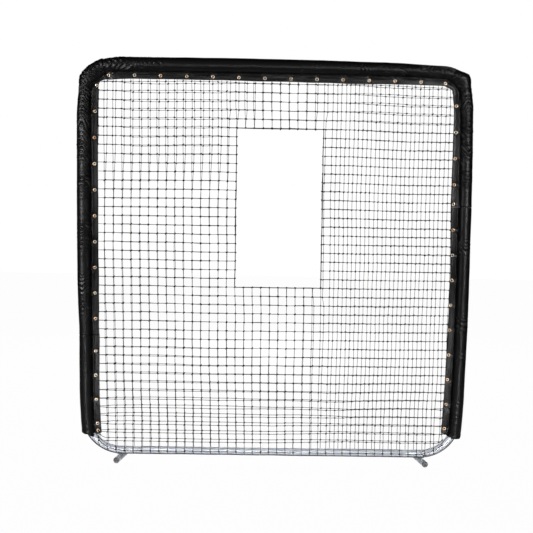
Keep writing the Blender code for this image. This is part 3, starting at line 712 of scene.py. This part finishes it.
# Zones of pleats: place, then spread, height and pitch in mm, and lean.
# Ends, which swell or draw in: place, then height and spread in mm.
COVERS = {
    "left_lower": dict(
        q0=Q_LEFT_END, q1=Q_LEFT_JOINT - 0.4 * MM, seed=101,
        zones=[(0.58, 35, 1.1, 15, 0.8), (0.50, 30, 0.7, 13, -0.6), (0.22, 60, 0.6, 26, 0.5)],
        ends=[(Q_LEFT_JOINT - 4 * MM, -0.9, 4), (Q_LEFT_END + 9 * MM, 0.9, 5)],
        cut=ragged_bottom([-0.075, -0.05, -0.03, 0.0, 0.036], [3, -12, -20, -3, 2], 5),
    ),
    "left_upper": dict(
        q0=Q_LEFT_JOINT + 0.4 * MM, q1=Q_TOP_START, seed=202,
        zones=[
            (Q_LEFT + 115 * MM, 75, 5.2, 21, -0.9), (Q_LEFT + 10 * MM, 60, 3.6, 17, 1.0),
            (1.89, 80, 4.4, 20, 1.1), (1.72, 75, 4.4, 18, 1.2), (1.52, 75, 3.6, 19, 1.0),
            (1.27, 105, 3.8, 18, 1.0), (0.98, 50, 2.6, 17, -0.9), (0.86, 35, 3.0, 16, 0.8),
        ],
        ends=[
            (Q_LEFT_JOINT + 5 * MM, 0.8, 4), (Q_TOP_START - 8 * MM, 1.6, 7),
            (1.975, 1.0, 3), (1.968, -1.2, 2.5),
        ],
        strength=3.6,
    ),
    "top": dict(
        q0=Q_TOP_START - 10 * MM, q1=Q_TOP_END + 8 * MM, seed=303,
        zones=[
            (q_of_x(-0.84), 75, 4.2, 24, 1.2), (q_of_x(-0.68), 70, 3.0, 22, -1.1),
            (q_of_x(0.134), 9, 3.0, 18, 1.2), (q_of_x(0.25), 70, 1.7, 16, -0.8),
            (q_of_x(0.42), 90, 2.6, 16, -0.9), (q_of_x(0.62), 95, 3.4, 17, -1.0),
            (q_of_x(0.82), 90, 3.8, 17, -1.1),
        ],
        ends=[(Q_TOP_START, -2.2, 14), (Q_TOP_END, -2.0, 12)],
        strength=2.4,
    ),
    "right_upper": dict(
        q0=Q_TOP_END, q1=Q_RIGHT_JOINT - 0.4 * MM, seed=404,
        zones=[
            (Q_TURN + 90 * MM, 60, 3.2, 24, 0.9), (q_of_right_z(1.98), 60, 3.8, 19, -1.0),
            (q_of_right_z(1.86), 55, 3.6, 21, 1.1), (q_of_right_z(1.73), 50, 3.0, 17, 1.0),
            (q_of_right_z(1.58), 60, 2.2, 16, 0.8),
        ],
        ends=[
            (Q_TOP_END + 7 * MM, 2.2, 7), (q_of_right_z(2.056), 2.2, 6),
            (Q_RIGHT_JOINT - 5 * MM, 0.8, 4),
        ],
        strength=3.8,
    ),
    "right_lower": dict(
        q0=Q_RIGHT_JOINT + 0.4 * MM, q1=Q_RIGHT_END, seed=505,
        zones=[
            (q_of_right_z(1.21), 40, 3.0, 17, 0.9), (q_of_right_z(0.79), 50, 2.8, 21, 1.0),
            (q_of_right_z(0.60), 45, 2.0, 19, -0.9), (q_of_right_z(0.30), 90, 0.8, 24, 0.7),
        ],
        ends=[(Q_RIGHT_JOINT + 4 * MM, -0.9, 4), (Q_RIGHT_END - 9 * MM, 0.9, 5)],
        cut=ragged_bottom(
            [-0.075, -0.05, -0.02, 0.0, 0.025, 0.036], [24, 17, 2, -2, -1, 8], 9
        ),
    ),
}

# ---- foam


def make_foam():
    """Foam sleeves, slit along their inner side; they show only at the lower ends."""
    slit = math.radians(5)
    turns = np.linspace(math.pi - slit, slit - math.pi, 33)
    outer, bore = PAD_R - 2.6 * MM, TUBE_R + 3.4 * MM
    out = np.concatenate([outer * np.cos(turns), bore * np.cos(turns[::-1])])
    forward = np.concatenate([outer * np.sin(turns), bore * np.sin(turns[::-1])])
    runs = {
        "left_lower": (Q_LEFT_END + 5 * MM, Q_LEFT_JOINT - 2 * MM),
        "left_upper": (Q_LEFT_JOINT + 2 * MM, Q_TOP_START - 14 * MM),
        "top": (Q_TOP_START - 10 * MM, Q_TOP_END + 6 * MM),
        "right_upper": (Q_TOP_END + 10 * MM, Q_RIGHT_JOINT - 2 * MM),
        "right_lower": (Q_RIGHT_JOINT + 2 * MM, Q_RIGHT_END - 6 * MM),
    }
    for name, (q0, q1) in runs.items():
        q = np.linspace(q0, q1, max(6, int((q1 - q0) / (25 * MM))))
        co = pad_place(q[:, None], out, forward)
        rows, columns = co.shape[:2]
        i = np.arange(len(turns) - 1)
        end = np.stack([i, i + 1, columns - 2 - i, columns - 1 - i], -1)
        faces = grid_faces(rows, columns, around=True)
        faces = np.concatenate([faces, end[:, ::-1], end + (rows - 1) * columns])
        made = mesh_object(f"foam_sleeve_{name}", co.reshape(-1, 3), faces)
        made.data.set_sharp_from_angle(angle=math.radians(40))
        finish_piece(made, "frame", FOAM, "charcoal_foam", f"foam_{name}")


# ---- grommets and ties


def turned_points(profile, sides):
    """Points and quads of a profile (radius, height) turned about Z."""
    turns = 2 * math.pi * np.arange(sides) / sides
    r, h = (np.array(profile)[:, i, None] * MM for i in (0, 1))
    co = stack(r * np.cos(turns), r * np.sin(turns), h)
    return co.reshape(-1, 3), grid_faces(len(profile), sides, around=True)


def placed(co, place):
    """Points moved by a 4x4 matrix."""
    flat = np.concatenate([co, np.ones((len(co), 1))], axis=1)
    return (flat @ np.array(place).T)[:, :3]


def spots(name, part, places, look, slot):
    """One mesh with a copy of a part (points, faces) at each 4x4 place."""
    co, faces = part
    made_co = np.concatenate([placed(co, place) for place in places])
    made_faces = np.concatenate([faces + len(co) * i for i in range(len(places))])
    finish_piece(mesh_object(name, made_co, made_faces), "frame", look, slot)


def grommet_surface(name):
    """How far out the front and back flaps stand under a cover's grommets, and their slope."""
    facts = COVERS[name]
    q = np.array(grommet_places(name))
    strength = facts.get("strength", PULL)
    place, edge = cover_surface(q, facts["zones"], facts["seed"], facts["ends"], q, strength)
    across = reach(q) - grommet_line(q)
    half = place.shape[1] // 2 + 1
    rim = 8.5 * MM
    found = {}
    for way in (1, -1):
        edges = edge[:, ::way][:, :half]
        heights = place[:, ::way, 1][:, :half] * way
        found[way] = []
        for d, e, f in zip(across, edges, heights):
            low, centre, high = np.interp([d - rim, d, d + rim], e, f)
            slope = math.atan2(high - low, 2 * rim)
            found[way].append((max(centre, (low + high) / 2), slope))
    return found


def make_grommets():
    ring = [
        (4.2, -1.6), (4.1, 0.6), (4.5, 1.3), (5.3, 1.75), (6.6, 1.8), (8.0, 1.45),
        (9.1, 0.75), (9.6, 0.0), (9.4, -0.5), (8.2, -0.6), (4.4, -1.0),
    ]
    part = turned_points(ring, 28)
    draw = np.random.default_rng(71)
    for side_name, way in (("front", 1), ("back", -1)):
        places = []
        face = Matrix.Rotation(way * math.pi / 2, 4, "X")
        for name in GROMMETS:
            rises = grommet_surface(name)[way]
            for at, (rise, slope) in zip(grommet_places(name), rises):
                centre = pad_place(at, -grommet_line(at), way * (rise + 0.6 * MM))
                tilt_x, tilt_z = draw.uniform(-0.07, 0.07, 2)
                lean = Matrix.Rotation(tilt_x, 4, "X") @ Matrix.Rotation(tilt_z, 4, "Y")
                a = float(pad_line(at)[2])
                along = Vector((-math.sin(a), 0.0, math.cos(a)))
                follow = Matrix.Rotation(-way * slope, 4, along)
                places.append(Matrix.Translation(Vector(centre)) @ follow @ face @ lean)
        spots(f"grommets_{side_name}", part, places, BRASS, "zinc_plate")


def make_ties():
    """Short cords through the grommet pairs that hold the net between the flaps."""
    draw = np.random.default_rng(72)
    turn = np.linspace(0, math.pi, 9)
    lines = []
    for name in GROMMETS:
        for at in grommet_places(name):
            shift = draw.uniform(-1.2, 1.2) * MM
            deep = -grommet_line(at) - 1.4 * MM * np.sin(turn)
            line = pad_place(at, deep, 7.5 * MM * np.cos(turn))
            a = float(pad_line(at)[2])
            lines.append(line + shift * np.array([math.sin(a), 0.0, -math.cos(a)]))
    made = tubes("grommet_ties", lines, [1.9 * MM] * len(lines), 8)
    finish_piece(made, "frame", ROPE, "black_twine")


# ---- net

NET_PITCH_X, NET_PITCH_Z = 47.1 * MM, 47.6 * MM  # outside the window's columns and rows
WINDOW_LOW, WINDOW_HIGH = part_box("window_rope")
ROPE_R = (WINDOW_HIGH.y - WINDOW_LOW.y) / 2
WINDOW_LEFT, WINDOW_RIGHT = WINDOW_LOW.x + ROPE_R, WINDOW_HIGH.x - ROPE_R
WINDOW_SILL, WINDOW_HEAD = WINDOW_LOW.z + ROPE_R, WINDOW_HIGH.z - ROPE_R
COLUMNS_LEFT, COLUMNS_IN, COLUMNS_RIGHT = 16, 10, 15
ROWS_BELOW, ROWS_IN, ROWS_ABOVE = 19, 18, 6
COLUMN_END, ROW_END = COLUMNS_LEFT + COLUMNS_IN, ROWS_BELOW + ROWS_IN  # of the window
COLUMNS = COLUMN_END + COLUMNS_RIGHT + 1
ROWS = ROW_END + ROWS_ABOVE + 1
TWINE_R = 1.25 * MM
THICK_LOW = 0.22  # how much thicker the twine is drawn near the rail
HEM_R = 2.4 * MM
HEM_TURN = math.radians(38)  # the hem rope's place round the rail, from its underside
PARTS = 3  # pieces of line from knot to knot


def column_x(c):
    pitch = (WINDOW_RIGHT - WINDOW_LEFT) / COLUMNS_IN
    x = WINDOW_LEFT + (c - COLUMNS_LEFT) * pitch
    x = np.where(c < COLUMNS_LEFT, WINDOW_LEFT + (c - COLUMNS_LEFT) * NET_PITCH_X, x)
    return np.where(c > COLUMN_END, WINDOW_RIGHT + (c - COLUMN_END) * NET_PITCH_X, x)


def rail_line(x, radius=BEND_R):
    """Height of the rail's centre line, or of a line round it, at each x."""
    over = np.clip(np.abs(x) - BEND_X, 0, radius * 0.98)
    return LOW_BEND_Z - np.sqrt(radius**2 - over**2)


def row_z(r, x):
    z = RAIL_Z + r * ((WINDOW_SILL - RAIL_Z) / ROWS_BELOW)
    pitch = (WINDOW_HEAD - WINDOW_SILL) / ROWS_IN
    z = np.where(r > ROWS_BELOW, WINDOW_SILL + (r - ROWS_BELOW) * pitch, z)
    z = np.where(r > ROW_END, WINDOW_HEAD + (r - ROW_END) * NET_PITCH_Z, z)
    return np.maximum(z, rail_line(x) + np.clip(r, 0, None) * 13 * MM)


def rise(v, start, length):
    """From 0 at the start to 1 a length further on."""
    return smooth_step((v - start) / length)


def level_lift(x, z):
    """How far both layers' rows stand above their plain level, towards the right and left."""
    right = np.interp(z, [0.12, 0.3, 0.5, 0.95, 1.5, 2.0], [0, 8, 5, 0, -5, -15]) * MM
    return right * rise(x, 0.35, 0.4), 6 * MM * rise(z, 1.2, 0.7) * bump(x, -0.38, 0.25)


def low_lift(x, z):
    """The lowest rows are gathered upwards."""
    size = np.interp(x, [-0.8, -0.38, 0.0, 0.42, 0.75], [6, 5, 6, 17, 14])
    share = np.interp(z, [0.1, 0.155, 0.2, 0.245, 0.29, 0.36], [1.0, 0.95, 0.75, 0.5, 0.2, 0.0])
    return size * share * MM


def drift(x, z):
    """How far both layers' columns lean sideways, left of the window and under it."""
    levels = [0.1, 0.25, 0.5, 0.8, 1.2, 1.95]
    left = np.interp(z, levels, [11.0, 9.0, 2.0, -1.5, -6.5, -7.5]) * MM
    centre = np.interp(z, levels, [18.0, 14.0, 7.0, 6.0, 0.0, -6.0]) * MM
    to_left = np.clip((WINDOW_LEFT - x) / 0.72, 0, 1)
    to_right = np.clip((WINDOW_RIGHT - x) / (WINDOW_RIGHT - WINDOW_LEFT), 0, 1)
    return (left * to_left + centre * (1 - to_left)) * np.where(x < WINDOW_LEFT, 1.0, to_right)


def back_shift(x, z, free):
    """How far the back layer stands to the right of the front one."""
    high = rise(z, 1.40, 0.4) * rise(-x, 0.05, 0.2)
    beside = rise(z, 1.35, 0.4) * bump(x, -0.24, 0.2)
    loose = np.clip(np.maximum(free, rise(np.abs(x), 0.2, 0.15)) + 0.2, 0, 1)
    shift = 14 * MM * high + 9 * MM * beside * (1 - 0.5 * high) + 23 * MM * rise(x, 0.12, 0.2)
    return shift * loose


def back_lift(x, z):
    """How far the back layer stands above the front one: high left, high right and low."""
    left = rise(z, 1.55, 0.2) * rise(-x, 0.15, 0.25) * (1 - rise(-x, 0.75, 0.15))
    right = rise(z, 1.75, 0.2) * rise(x, 0.2, 0.3)
    low = 1 - rise(z, 0.08, np.interp(x, [-0.9, -0.5], [0.28, 0.38]))
    side = np.interp(x, [-0.95, 0.0, 0.15, 0.42, 0.9], [21, 17, 16, -9, -10]) * MM
    return 9 * MM * right - 8 * MM * left + side * low * rise(z, 0.075, 0.03)


def depth(x, z, seed, hold):
    """How far a layer stands from the frame's middle plane."""
    on_rail, open_net, in_flaps = TUBE_R + 0.4 * MM + TWINE_R, 2.4 * MM, 2.0 * MM
    share = 0.5 * rise(z, 0.19, 0.43) + 0.5 * np.clip((z - 0.06) / 0.62, 0, 1)
    deep = on_rail + (open_net - on_rail) * share
    deep = deep + (in_flaps - deep) * rise(np.abs(x), 0.87, 0.075) * rise(z, 0.125, 0.05)
    billow = 3.0 * MM * noise(seed, x / 0.5, z / 0.6) * hold
    return deep + np.abs(billow) * rise(-np.abs(x), -0.955, 0.05) * rise(-z, -2.08, 0.05)


def net_point(layer, c, r):
    """Place of a point of a layer, by its column and row as real numbers."""
    c, r = np.broadcast_arrays(np.asarray(c, float), np.asarray(r, float))
    x = column_x(c)
    z = row_z(r, x)
    seed = 600 + 50 * layer
    hold = rise(z, 0.12, 0.2)  # 0 at the hem, which holds the net, and 1 above it
    beside = np.maximum(WINDOW_LEFT - x, x - WINDOW_RIGHT)
    free = rise(np.maximum(beside, np.maximum(WINDOW_SILL - z, z - WINDOW_HEAD)), 0, 0.13)
    dx = 3.2 * MM * noise(seed, x / 0.31, z / 0.37) + 1.6 * MM * noise(seed + 1, x / 0.09, z / 0.1)
    dz = 3.2 * MM * noise(seed + 2, x / 0.33, z / 0.29)
    dz = dz + 1.4 * MM * noise(seed + 3, x / 0.08, z / 0.11)
    dz = dz - 1.2 * MM * (1 - (x / 0.96) ** 2) * rise(z, 0.1, 0.5) * free
    lift_right, lift_left = level_lift(x, z)
    dz = dz + lift_right + lift_left * np.clip(free + 0.3, 0, 1)
    if layer:
        shift = back_shift(x, z, free)
        dz = dz + back_lift(x, z)
    else:
        shift = -15 * MM * rise(x, 0.2, 0.5) * (1 - rise(z, 0.15, 0.45))
    moved_x = x + dx * hold + drift(x, z) * free + shift
    moved_z = z + (dz * (0.25 + 0.75 * hold) + low_lift(x, z)) * (r > 0.4)
    y = depth(moved_x, moved_z, seed + 4, hold) * (1 if layer else -1)
    return stack(moved_x, FRAME_Y + y, moved_z)


def slack(line, draw, size=0.7 * MM):
    """Gives the line between knots a slight bow of its own; knots stay where they are."""
    line = line.copy()
    for k in range(0, len(line) - 1, PARTS):
        bow = draw.uniform(-1, 1, 3) * size
        for part in range(1, PARTS):
            if k + part < len(line):
                line[k + part] += bow * math.sin(math.pi * part / PARTS)
    return line


def hem_wrap(foot_x, layer):
    """A column's way from the hem rope up round the rail to its lowest knot."""
    lean = 0.0 if layer else 3.5 * MM
    radius = TUBE_R + 0.5 * MM + TWINE_R
    wrap = []
    for share in (1.0, 0.66, 0.33):
        turn = math.pi / 2 + (HEM_TURN - math.pi / 2) * share
        x = foot_x + lean * share
        y = radius * math.sin(turn) * (1 if layer else -1)
        wrap.append((x, FRAME_Y + y, rail_line(x, BEND_R + radius * math.cos(turn))))
    return np.array(wrap)


def spans(index, window_start, window_end, other_start, other_end, last):
    """Stretches of a column or row, which the window cuts in two."""
    if window_start < index < window_end:
        return [(0, other_start), (other_end, last)]
    return [(0, last)]


def net_lines(layer):
    draw = np.random.default_rng(800 + layer)
    lines = []
    for c in range(COLUMNS):
        for a, b in spans(c, COLUMNS_LEFT, COLUMN_END, ROWS_BELOW, ROW_END, ROWS - 1):
            r = np.linspace(a, b, (b - a) * PARTS + 1)
            line = slack(net_point(layer, c, r), draw)
            if a == 0:
                line = np.concatenate([hem_wrap(line[0][0], layer), line])
            lines.append(line)
    for r in range(ROWS):
        for a, b in spans(r, ROWS_BELOW, ROW_END, COLUMNS_LEFT, COLUMN_END, COLUMNS - 1):
            c = np.linspace(a, b, (b - a) * PARTS + 1)
            lines.append(slack(net_point(layer, c, r), draw))
    return lines


def knot_part():
    """A sheet-bend knot: a lumpy core whose lobes are the strands that cross over it."""
    ball = bmesh.new()
    bmesh.ops.create_icosphere(ball, subdivisions=2, radius=1.0)
    co = np.array([v.co[:] for v in ball.verts])
    faces = np.array([[v.index for v in f.verts] for f in ball.faces])
    ball.free()
    turn = np.arctan2(co[:, 2], co[:, 0])
    lobes = 1 + 0.20 * np.cos(2 * turn - 0.9) + 0.10 * np.sin(4 * turn + 3 * co[:, 1])
    return co * lobes[:, None] * np.array([4.8, 3.4, 4.6]) * MM, faces


def knot_places(layer):
    draw = np.random.default_rng(900 + layer)
    places = []
    for c in range(COLUMNS):
        for r in range(ROWS):
            if COLUMNS_LEFT < c < COLUMN_END and ROWS_BELOW < r < ROW_END:
                continue
            turn = Matrix.Rotation(draw.uniform(-0.9, 0.9), 4, "Y")
            tip = Matrix.Rotation(draw.uniform(-0.3, 0.3), 4, "X")
            size = Matrix.Scale(draw.uniform(0.88, 1.18), 4)
            place = Matrix.Translation(Vector(net_point(layer, c, r)))
            places.append(place @ turn @ tip @ size)
    return places


def make_net():
    for layer, side in enumerate(("front", "back")):
        lines = net_lines(layer)
        thick = 1 + THICK_LOW
        radii = [TWINE_R * (thick - THICK_LOW * rise(line[:, 2], 0.2, 0.5)) for line in lines]
        made = tubes(f"netting_{side}", lines, radii, 5)
        panels = [f"net_{side}_{part}" for part in ("below", "above", "left", "right")]
        finish_piece(made, "frame", TWINE, "black_twine", *panels)
        spots(f"net_knots_{side}", knot_part(), knot_places(layer), TWINE, "black_twine")


# ---- ropes


def window_edge(r=9 * MM, steps=5):
    """The window rope's centre line: a rounded rectangle, a little uneven."""
    left, right, low, high = WINDOW_LEFT + r, WINDOW_RIGHT - r, WINDOW_SILL + r, WINDOW_HEAD - r
    corners = [(right, low), (right, high), (left, high), (left, low)]
    points = []
    for quarter, (x, z) in enumerate(corners):
        for i in range(steps + 1):
            a = math.pi / 2 * (quarter - 1 + i / steps)
            points.append(np.array((x + r * math.cos(a), FRAME_Y, z + r * math.sin(a))))
    dense = []
    for p, n in zip(points, points[1:] + points[:1]):
        count = max(1, int(np.linalg.norm(n - p) / (12 * MM)))
        dense += [p + (n - p) * i / count for i in range(count)]
    dense = np.array(dense + points[:1])
    dense[:, 0] += 1.5 * MM * noise(31, dense[:, 2] / 0.1, dense[:, 0] / 0.1)
    dense[:, 2] += 1.5 * MM * noise(32, dense[:, 0] / 0.1, dense[:, 2] / 0.1)
    dense[-1] = dense[0]
    return dense


def make_ropes():
    made = tubes("window_edge_rope", [window_edge()], [2.3 * MM], 10)
    finish_piece(made, "frame", ROPE, "black_twine", "window_rope")
    radius = TUBE_R + 1.0 * MM + HEM_R
    end = BEND_X + BEND_R * math.radians(64)
    run = np.linspace(-end, end, 280)
    over = np.clip((np.abs(run) - BEND_X) / BEND_R, 0, None)
    turn = HEM_TURN + 0.07 * noise(41, run / 0.12, run * 0)
    ring = BEND_R + radius * np.cos(turn)
    x = np.sign(run) * (np.minimum(np.abs(run), BEND_X) + ring * np.sin(over))
    line = stack(x, FRAME_Y - radius * np.sin(turn), LOW_BEND_Z - ring * np.cos(over))
    made = tubes("hem_rope", [line], [HEM_R], 10)
    finish_piece(made, "frame", ROPE, "black_twine", "net_hem_rope")


# ---- bare steel

TUBE_SIDES = 40


def steel_tube(name, line, outer, wall, body, replaced):
    """A steel tube with a real bore and softened rims, from its centre line."""
    line = np.asarray(line, float)
    lip, rounding = 0.5 * MM, 0.35 * MM
    first, last = (line[1] - line[0]), (line[-1] - line[-2])
    first, last = first / np.linalg.norm(first) * lip, last / np.linalg.norm(last) * lip
    skins = np.concatenate([line[:1], line[:1] + first, line[1:-1], line[-1:] - last, line[-1:]])
    co, _, _ = tube_arrays([skins], [outer], TUBE_SIDES)
    co = co.reshape(len(skins), TUBE_SIDES, 3)
    centre = skins[:, None, :]
    inner = centre + (co - centre) * ((outer - wall) / outer)
    for i in (0, -1):
        co[i] = skins[i] + (co[i] - skins[i]) * ((outer - rounding) / outer)
    loop = np.concatenate([co, inner[::-1]])
    start = (len(loop) - 1) * TUBE_SIDES
    j = np.arange(TUBE_SIDES)
    k = (j + 1) % TUBE_SIDES
    close = np.stack([start + j, start + k, k, j], -1)
    faces = np.concatenate([grid_faces(len(loop), TUBE_SIDES, around=True), close])
    made = mesh_object(name, loop.reshape(-1, 3), faces)
    made.data.set_sharp_from_angle(angle=math.radians(50))
    finish_piece(made, body, STEEL, "galvanised_steel", replaced)


def bend_line(side):
    """The bottom bend's centre line with its legs, from its rail end up."""
    leg = 0.1
    a = np.linspace(-math.pi / 2, 0, 28)
    bend = stack(side * (BEND_X + BEND_R * np.cos(a)), FRAME_Y, LOW_BEND_Z + BEND_R * np.sin(a))
    rail_end = (side * (BEND_X - leg + 0.3 * MM), FRAME_Y, RAIL_Z)
    return [rail_end, *bend, (side * HALF_WIDTH, FRAME_Y, LOW_BEND_Z + leg)]


def make_steel():
    wall = 1.65 * MM
    low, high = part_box("frame_tube_bottom")
    rail = [(x, FRAME_Y, RAIL_Z) for x in (low.x, 0, high.x)]
    steel_tube("rail_bottom", rail, TUBE_R, wall, "frame", "frame_tube_bottom")
    for side, name in ((-1, "left"), (1, "right")):
        steel_tube(
            f"bend_bottom_{name}", bend_line(side), TUBE_R, wall, "frame",
            f"frame_bend_bottom_{name}",
        )


# ---- feet

FOOT_R, FOOT_Z, FOOT_WALL = 15.875 * MM, 16.0 * MM, 1.6 * MM
PLUG_MIDDLE = 7.0 * MM  # from a plug's box middle to its flange's inner face


def make_feet():
    for name in ("left_foot", "right_foot"):
        places = [middle(f"{name}_{part}") for part in ("plug_front", "plug_back", "bolt")]
        front, back, bolt = (Vector((place.x, place.y, 0)) for place in places)
        way = (back - front).normalized()
        centre = Vector((bolt.x, bolt.y, FOOT_Z))
        start = centre - way * ((front - bolt).length + PLUG_MIDDLE)
        end = centre + way * ((back - bolt).length + PLUG_MIDDLE)
        line = [tuple(start + (end - start) * t) for t in (0, 0.25, 0.5, 0.75, 1)]
        steel_tube(f"{name}_steel", line, FOOT_R, FOOT_WALL, name, f"{name}_tube")
        for at, outward, which in ((start, -way, "front"), (end, way, "back")):
            plug = plug_mesh(f"{name}_end_plug_{which}", at, outward)
            finish_piece(plug, name, PLASTIC, "grey_plastic", f"{name}_plug_{which}")


def plug_mesh(name, at, outward):
    """A ribbed end plug: a domed flange with a shallow dish, and its stem in the tube."""
    profile = [
        (0.02, 2.4), (3.0, 2.4), (9.6, 2.6), (11.2, 3.2), (12.6, 4.0), (14.4, 4.1),
        (15.8, 3.6), (16.5, 2.6), (16.6, 1.4), (16.6, 0.3), (14.0, 0.3), (14.0, -2.0),
        (13.7, -3.0), (14.0, -4.0), (14.0, -6.0), (13.7, -7.0), (14.0, -8.0), (13.4, -17.0),
        (0.02, -17.0),
    ]
    co, faces = turned_points(profile, 40)
    up = Vector((0, 0, 1))
    turn = Matrix((outward.cross(up).normalized(), up, outward)).transposed().to_4x4()
    co = placed(co, Matrix.Translation(at) @ turn)
    co[:, 2] = np.maximum(co[:, 2], 0.0)
    made = mesh_object(name, co, faces)
    made.data.set_sharp_from_angle(angle=math.radians(50))
    return made


# ---- small tie on the rail


def make_rail_tie():
    """A short tail of twine that loops round the rail by the right foot's bolt."""
    bolt = middle("right_foot_bolt")
    radius = TUBE_R + 2.6 * MM
    share = np.linspace(0, 1, 34)
    turn = np.radians(100 + 262 * share)
    height = 5 * MM + 11.5 * MM * np.sin(turn)
    deep = np.sqrt(np.maximum(radius**2 - height**2, 0.0)) + 0.8 * MM * np.sin(6 * share)
    line = stack(bolt.x + 24 * MM + 24 * MM * np.cos(turn), FRAME_Y - deep, RAIL_Z + height)
    made = tubes("rail_tie", [line], [1.4 * MM], 8)
    finish_piece(made, "frame", ROPE, "black_twine")


# ---- carried-over nodes


def dress_nodes():
    looks = {
        "frame_": STEEL, "snap_button": STEEL, "_bolt": ZINC, "_insert": ZINC, "_washer": ZINC,
        "_saddle": PLASTIC,
    }
    for name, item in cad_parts.items():
        for part, look in looks.items():
            if part in name:
                item.data.materials.clear()
                item.data.materials.append(look)


# ---- stage

FLOOR_HALF = 12.0
# Name: place, aim, size, power in watts and spread in degrees
LIGHTS = {
    "left_box": ((-2.9, -2.9, 1.95), (-1.05, 0, 1.4), (0.35, 1.9), 10, 60),
    "right_box": ((2.2, -3.4, 1.9), (1.05, 0, 1.4), (0.3, 2.0), 7, 60),
    "top_box": ((0.0, -3.6, 1.75), (0, 0, 2.15), (3.2, 0.2), 2.5, 60),
    "low_box": ((0.0, -2.9, 0.25), (0, 0, 0.09), (2.8, 0.3), 4.8, 40),
    "floor_bounce": ((0.0, -0.42, 0.004), (0, -0.2, 0.4), (2.3, 0.4), 1.1, 120),
    "back_box": ((0.0, 4.4, 1.9), (0, 0, 1.1), (2.4, 1.6), 70, 180),
}


def make_light(name, place, aim, size, power, spread):
    data = bpy.data.lights.new(name, "AREA")
    data.shape = "RECTANGLE"
    data.size, data.size_y = size
    data.energy = power
    data.spread = math.radians(spread)
    light = bpy.data.objects.new(name, data)
    bpy.context.scene.collection.objects.link(light)
    light.visible_camera = False
    light.location = place
    light.rotation_euler = (Vector(aim) - Vector(place)).to_track_quat("-Z", "Y").to_euler()


def seen_by_camera(tree, share, shown, lit, output):
    """Shows one shader to the camera and leaves the other to light the scene."""
    seen = tree.nodes.new("ShaderNodeLightPath").outputs["Is Camera Ray"]
    scaled = node(tree, "ShaderNodeMath", operation="MULTIPLY")
    scaled.inputs[1].default_value = share
    mix = tree.nodes.new("ShaderNodeMixShader")
    tree.links.new(seen, scaled.inputs[0])
    tree.links.new(scaled.outputs[0], mix.inputs[0])
    tree.links.new(lit.outputs[0], mix.inputs[1])
    tree.links.new(shown.outputs[0], mix.inputs[2])
    tree.links.new(mix.outputs[0], tree.nodes[output].inputs["Surface"])


def make_floor():
    look, tree, shader = new_material("pale_floor", (0.93, 0.93, 0.93), 0.95)
    shader.inputs["Specular IOR Level"].default_value = 0.0
    glow = node(tree, "ShaderNodeEmission", Color=(1, 1, 1, 1), Strength=1.015)
    seen_by_camera(tree, 0.965, glow, shader, "Material Output")
    h = FLOOR_HALF
    corners = [(-h, -h, 0), (h, -h, 0), (h, h, 0), (-h, h, 0)]
    floor = mesh_object("floor", corners, [(0, 1, 2, 3)], smooth=False)
    floor.data.materials.append(look)


def make_world():
    """A white page to the camera; to the rest, dim walls that are lighter in front."""
    world = bpy.data.worlds.new("studio")
    bpy.context.scene.world = world
    world.use_nodes = True
    tree = world.node_tree
    parts = tree.nodes.new("ShaderNodeSeparateXYZ")
    tree.links.new(tree.nodes.new("ShaderNodeTexCoord").outputs["Generated"], parts.inputs[0])
    facing = node(tree, "ShaderNodeMapRange", interpolation_type="SMOOTHSTEP")
    for key, value in (("From Min", 0.0), ("From Max", -0.9), ("To Min", 0.0), ("To Max", 1.0)):
        facing.inputs[key].default_value = value
    tree.links.new(parts.outputs["Y"], facing.inputs["Value"])
    walls = ramp(
        tree, facing.outputs["Result"],
        [(0.0, (0.008, 0.008, 0.009)), (1.0, (0.13, 0.132, 0.138))],
    )
    room = tree.nodes["Background"]
    tree.links.new(walls, room.inputs["Color"])
    room.inputs["Strength"].default_value = 1.0
    page = node(tree, "ShaderNodeBackground", Color=(1, 1, 1, 1), Strength=1.0)
    seen_by_camera(tree, 1.0, page, room, "World Output")


def make_stage():
    make_floor()
    make_world()
    for name, facts in LIGHTS.items():
        make_light(name, *facts)
    bpy.context.scene.view_settings.view_transform = "Standard"


# ---- build

for name, facts in COVERS.items():
    cover(name, **facts)
make_foam()
make_grommets()
make_ties()
make_net()
make_ropes()
make_steel()
make_feet()
make_rail_tie()
dress_nodes()
make_stage()
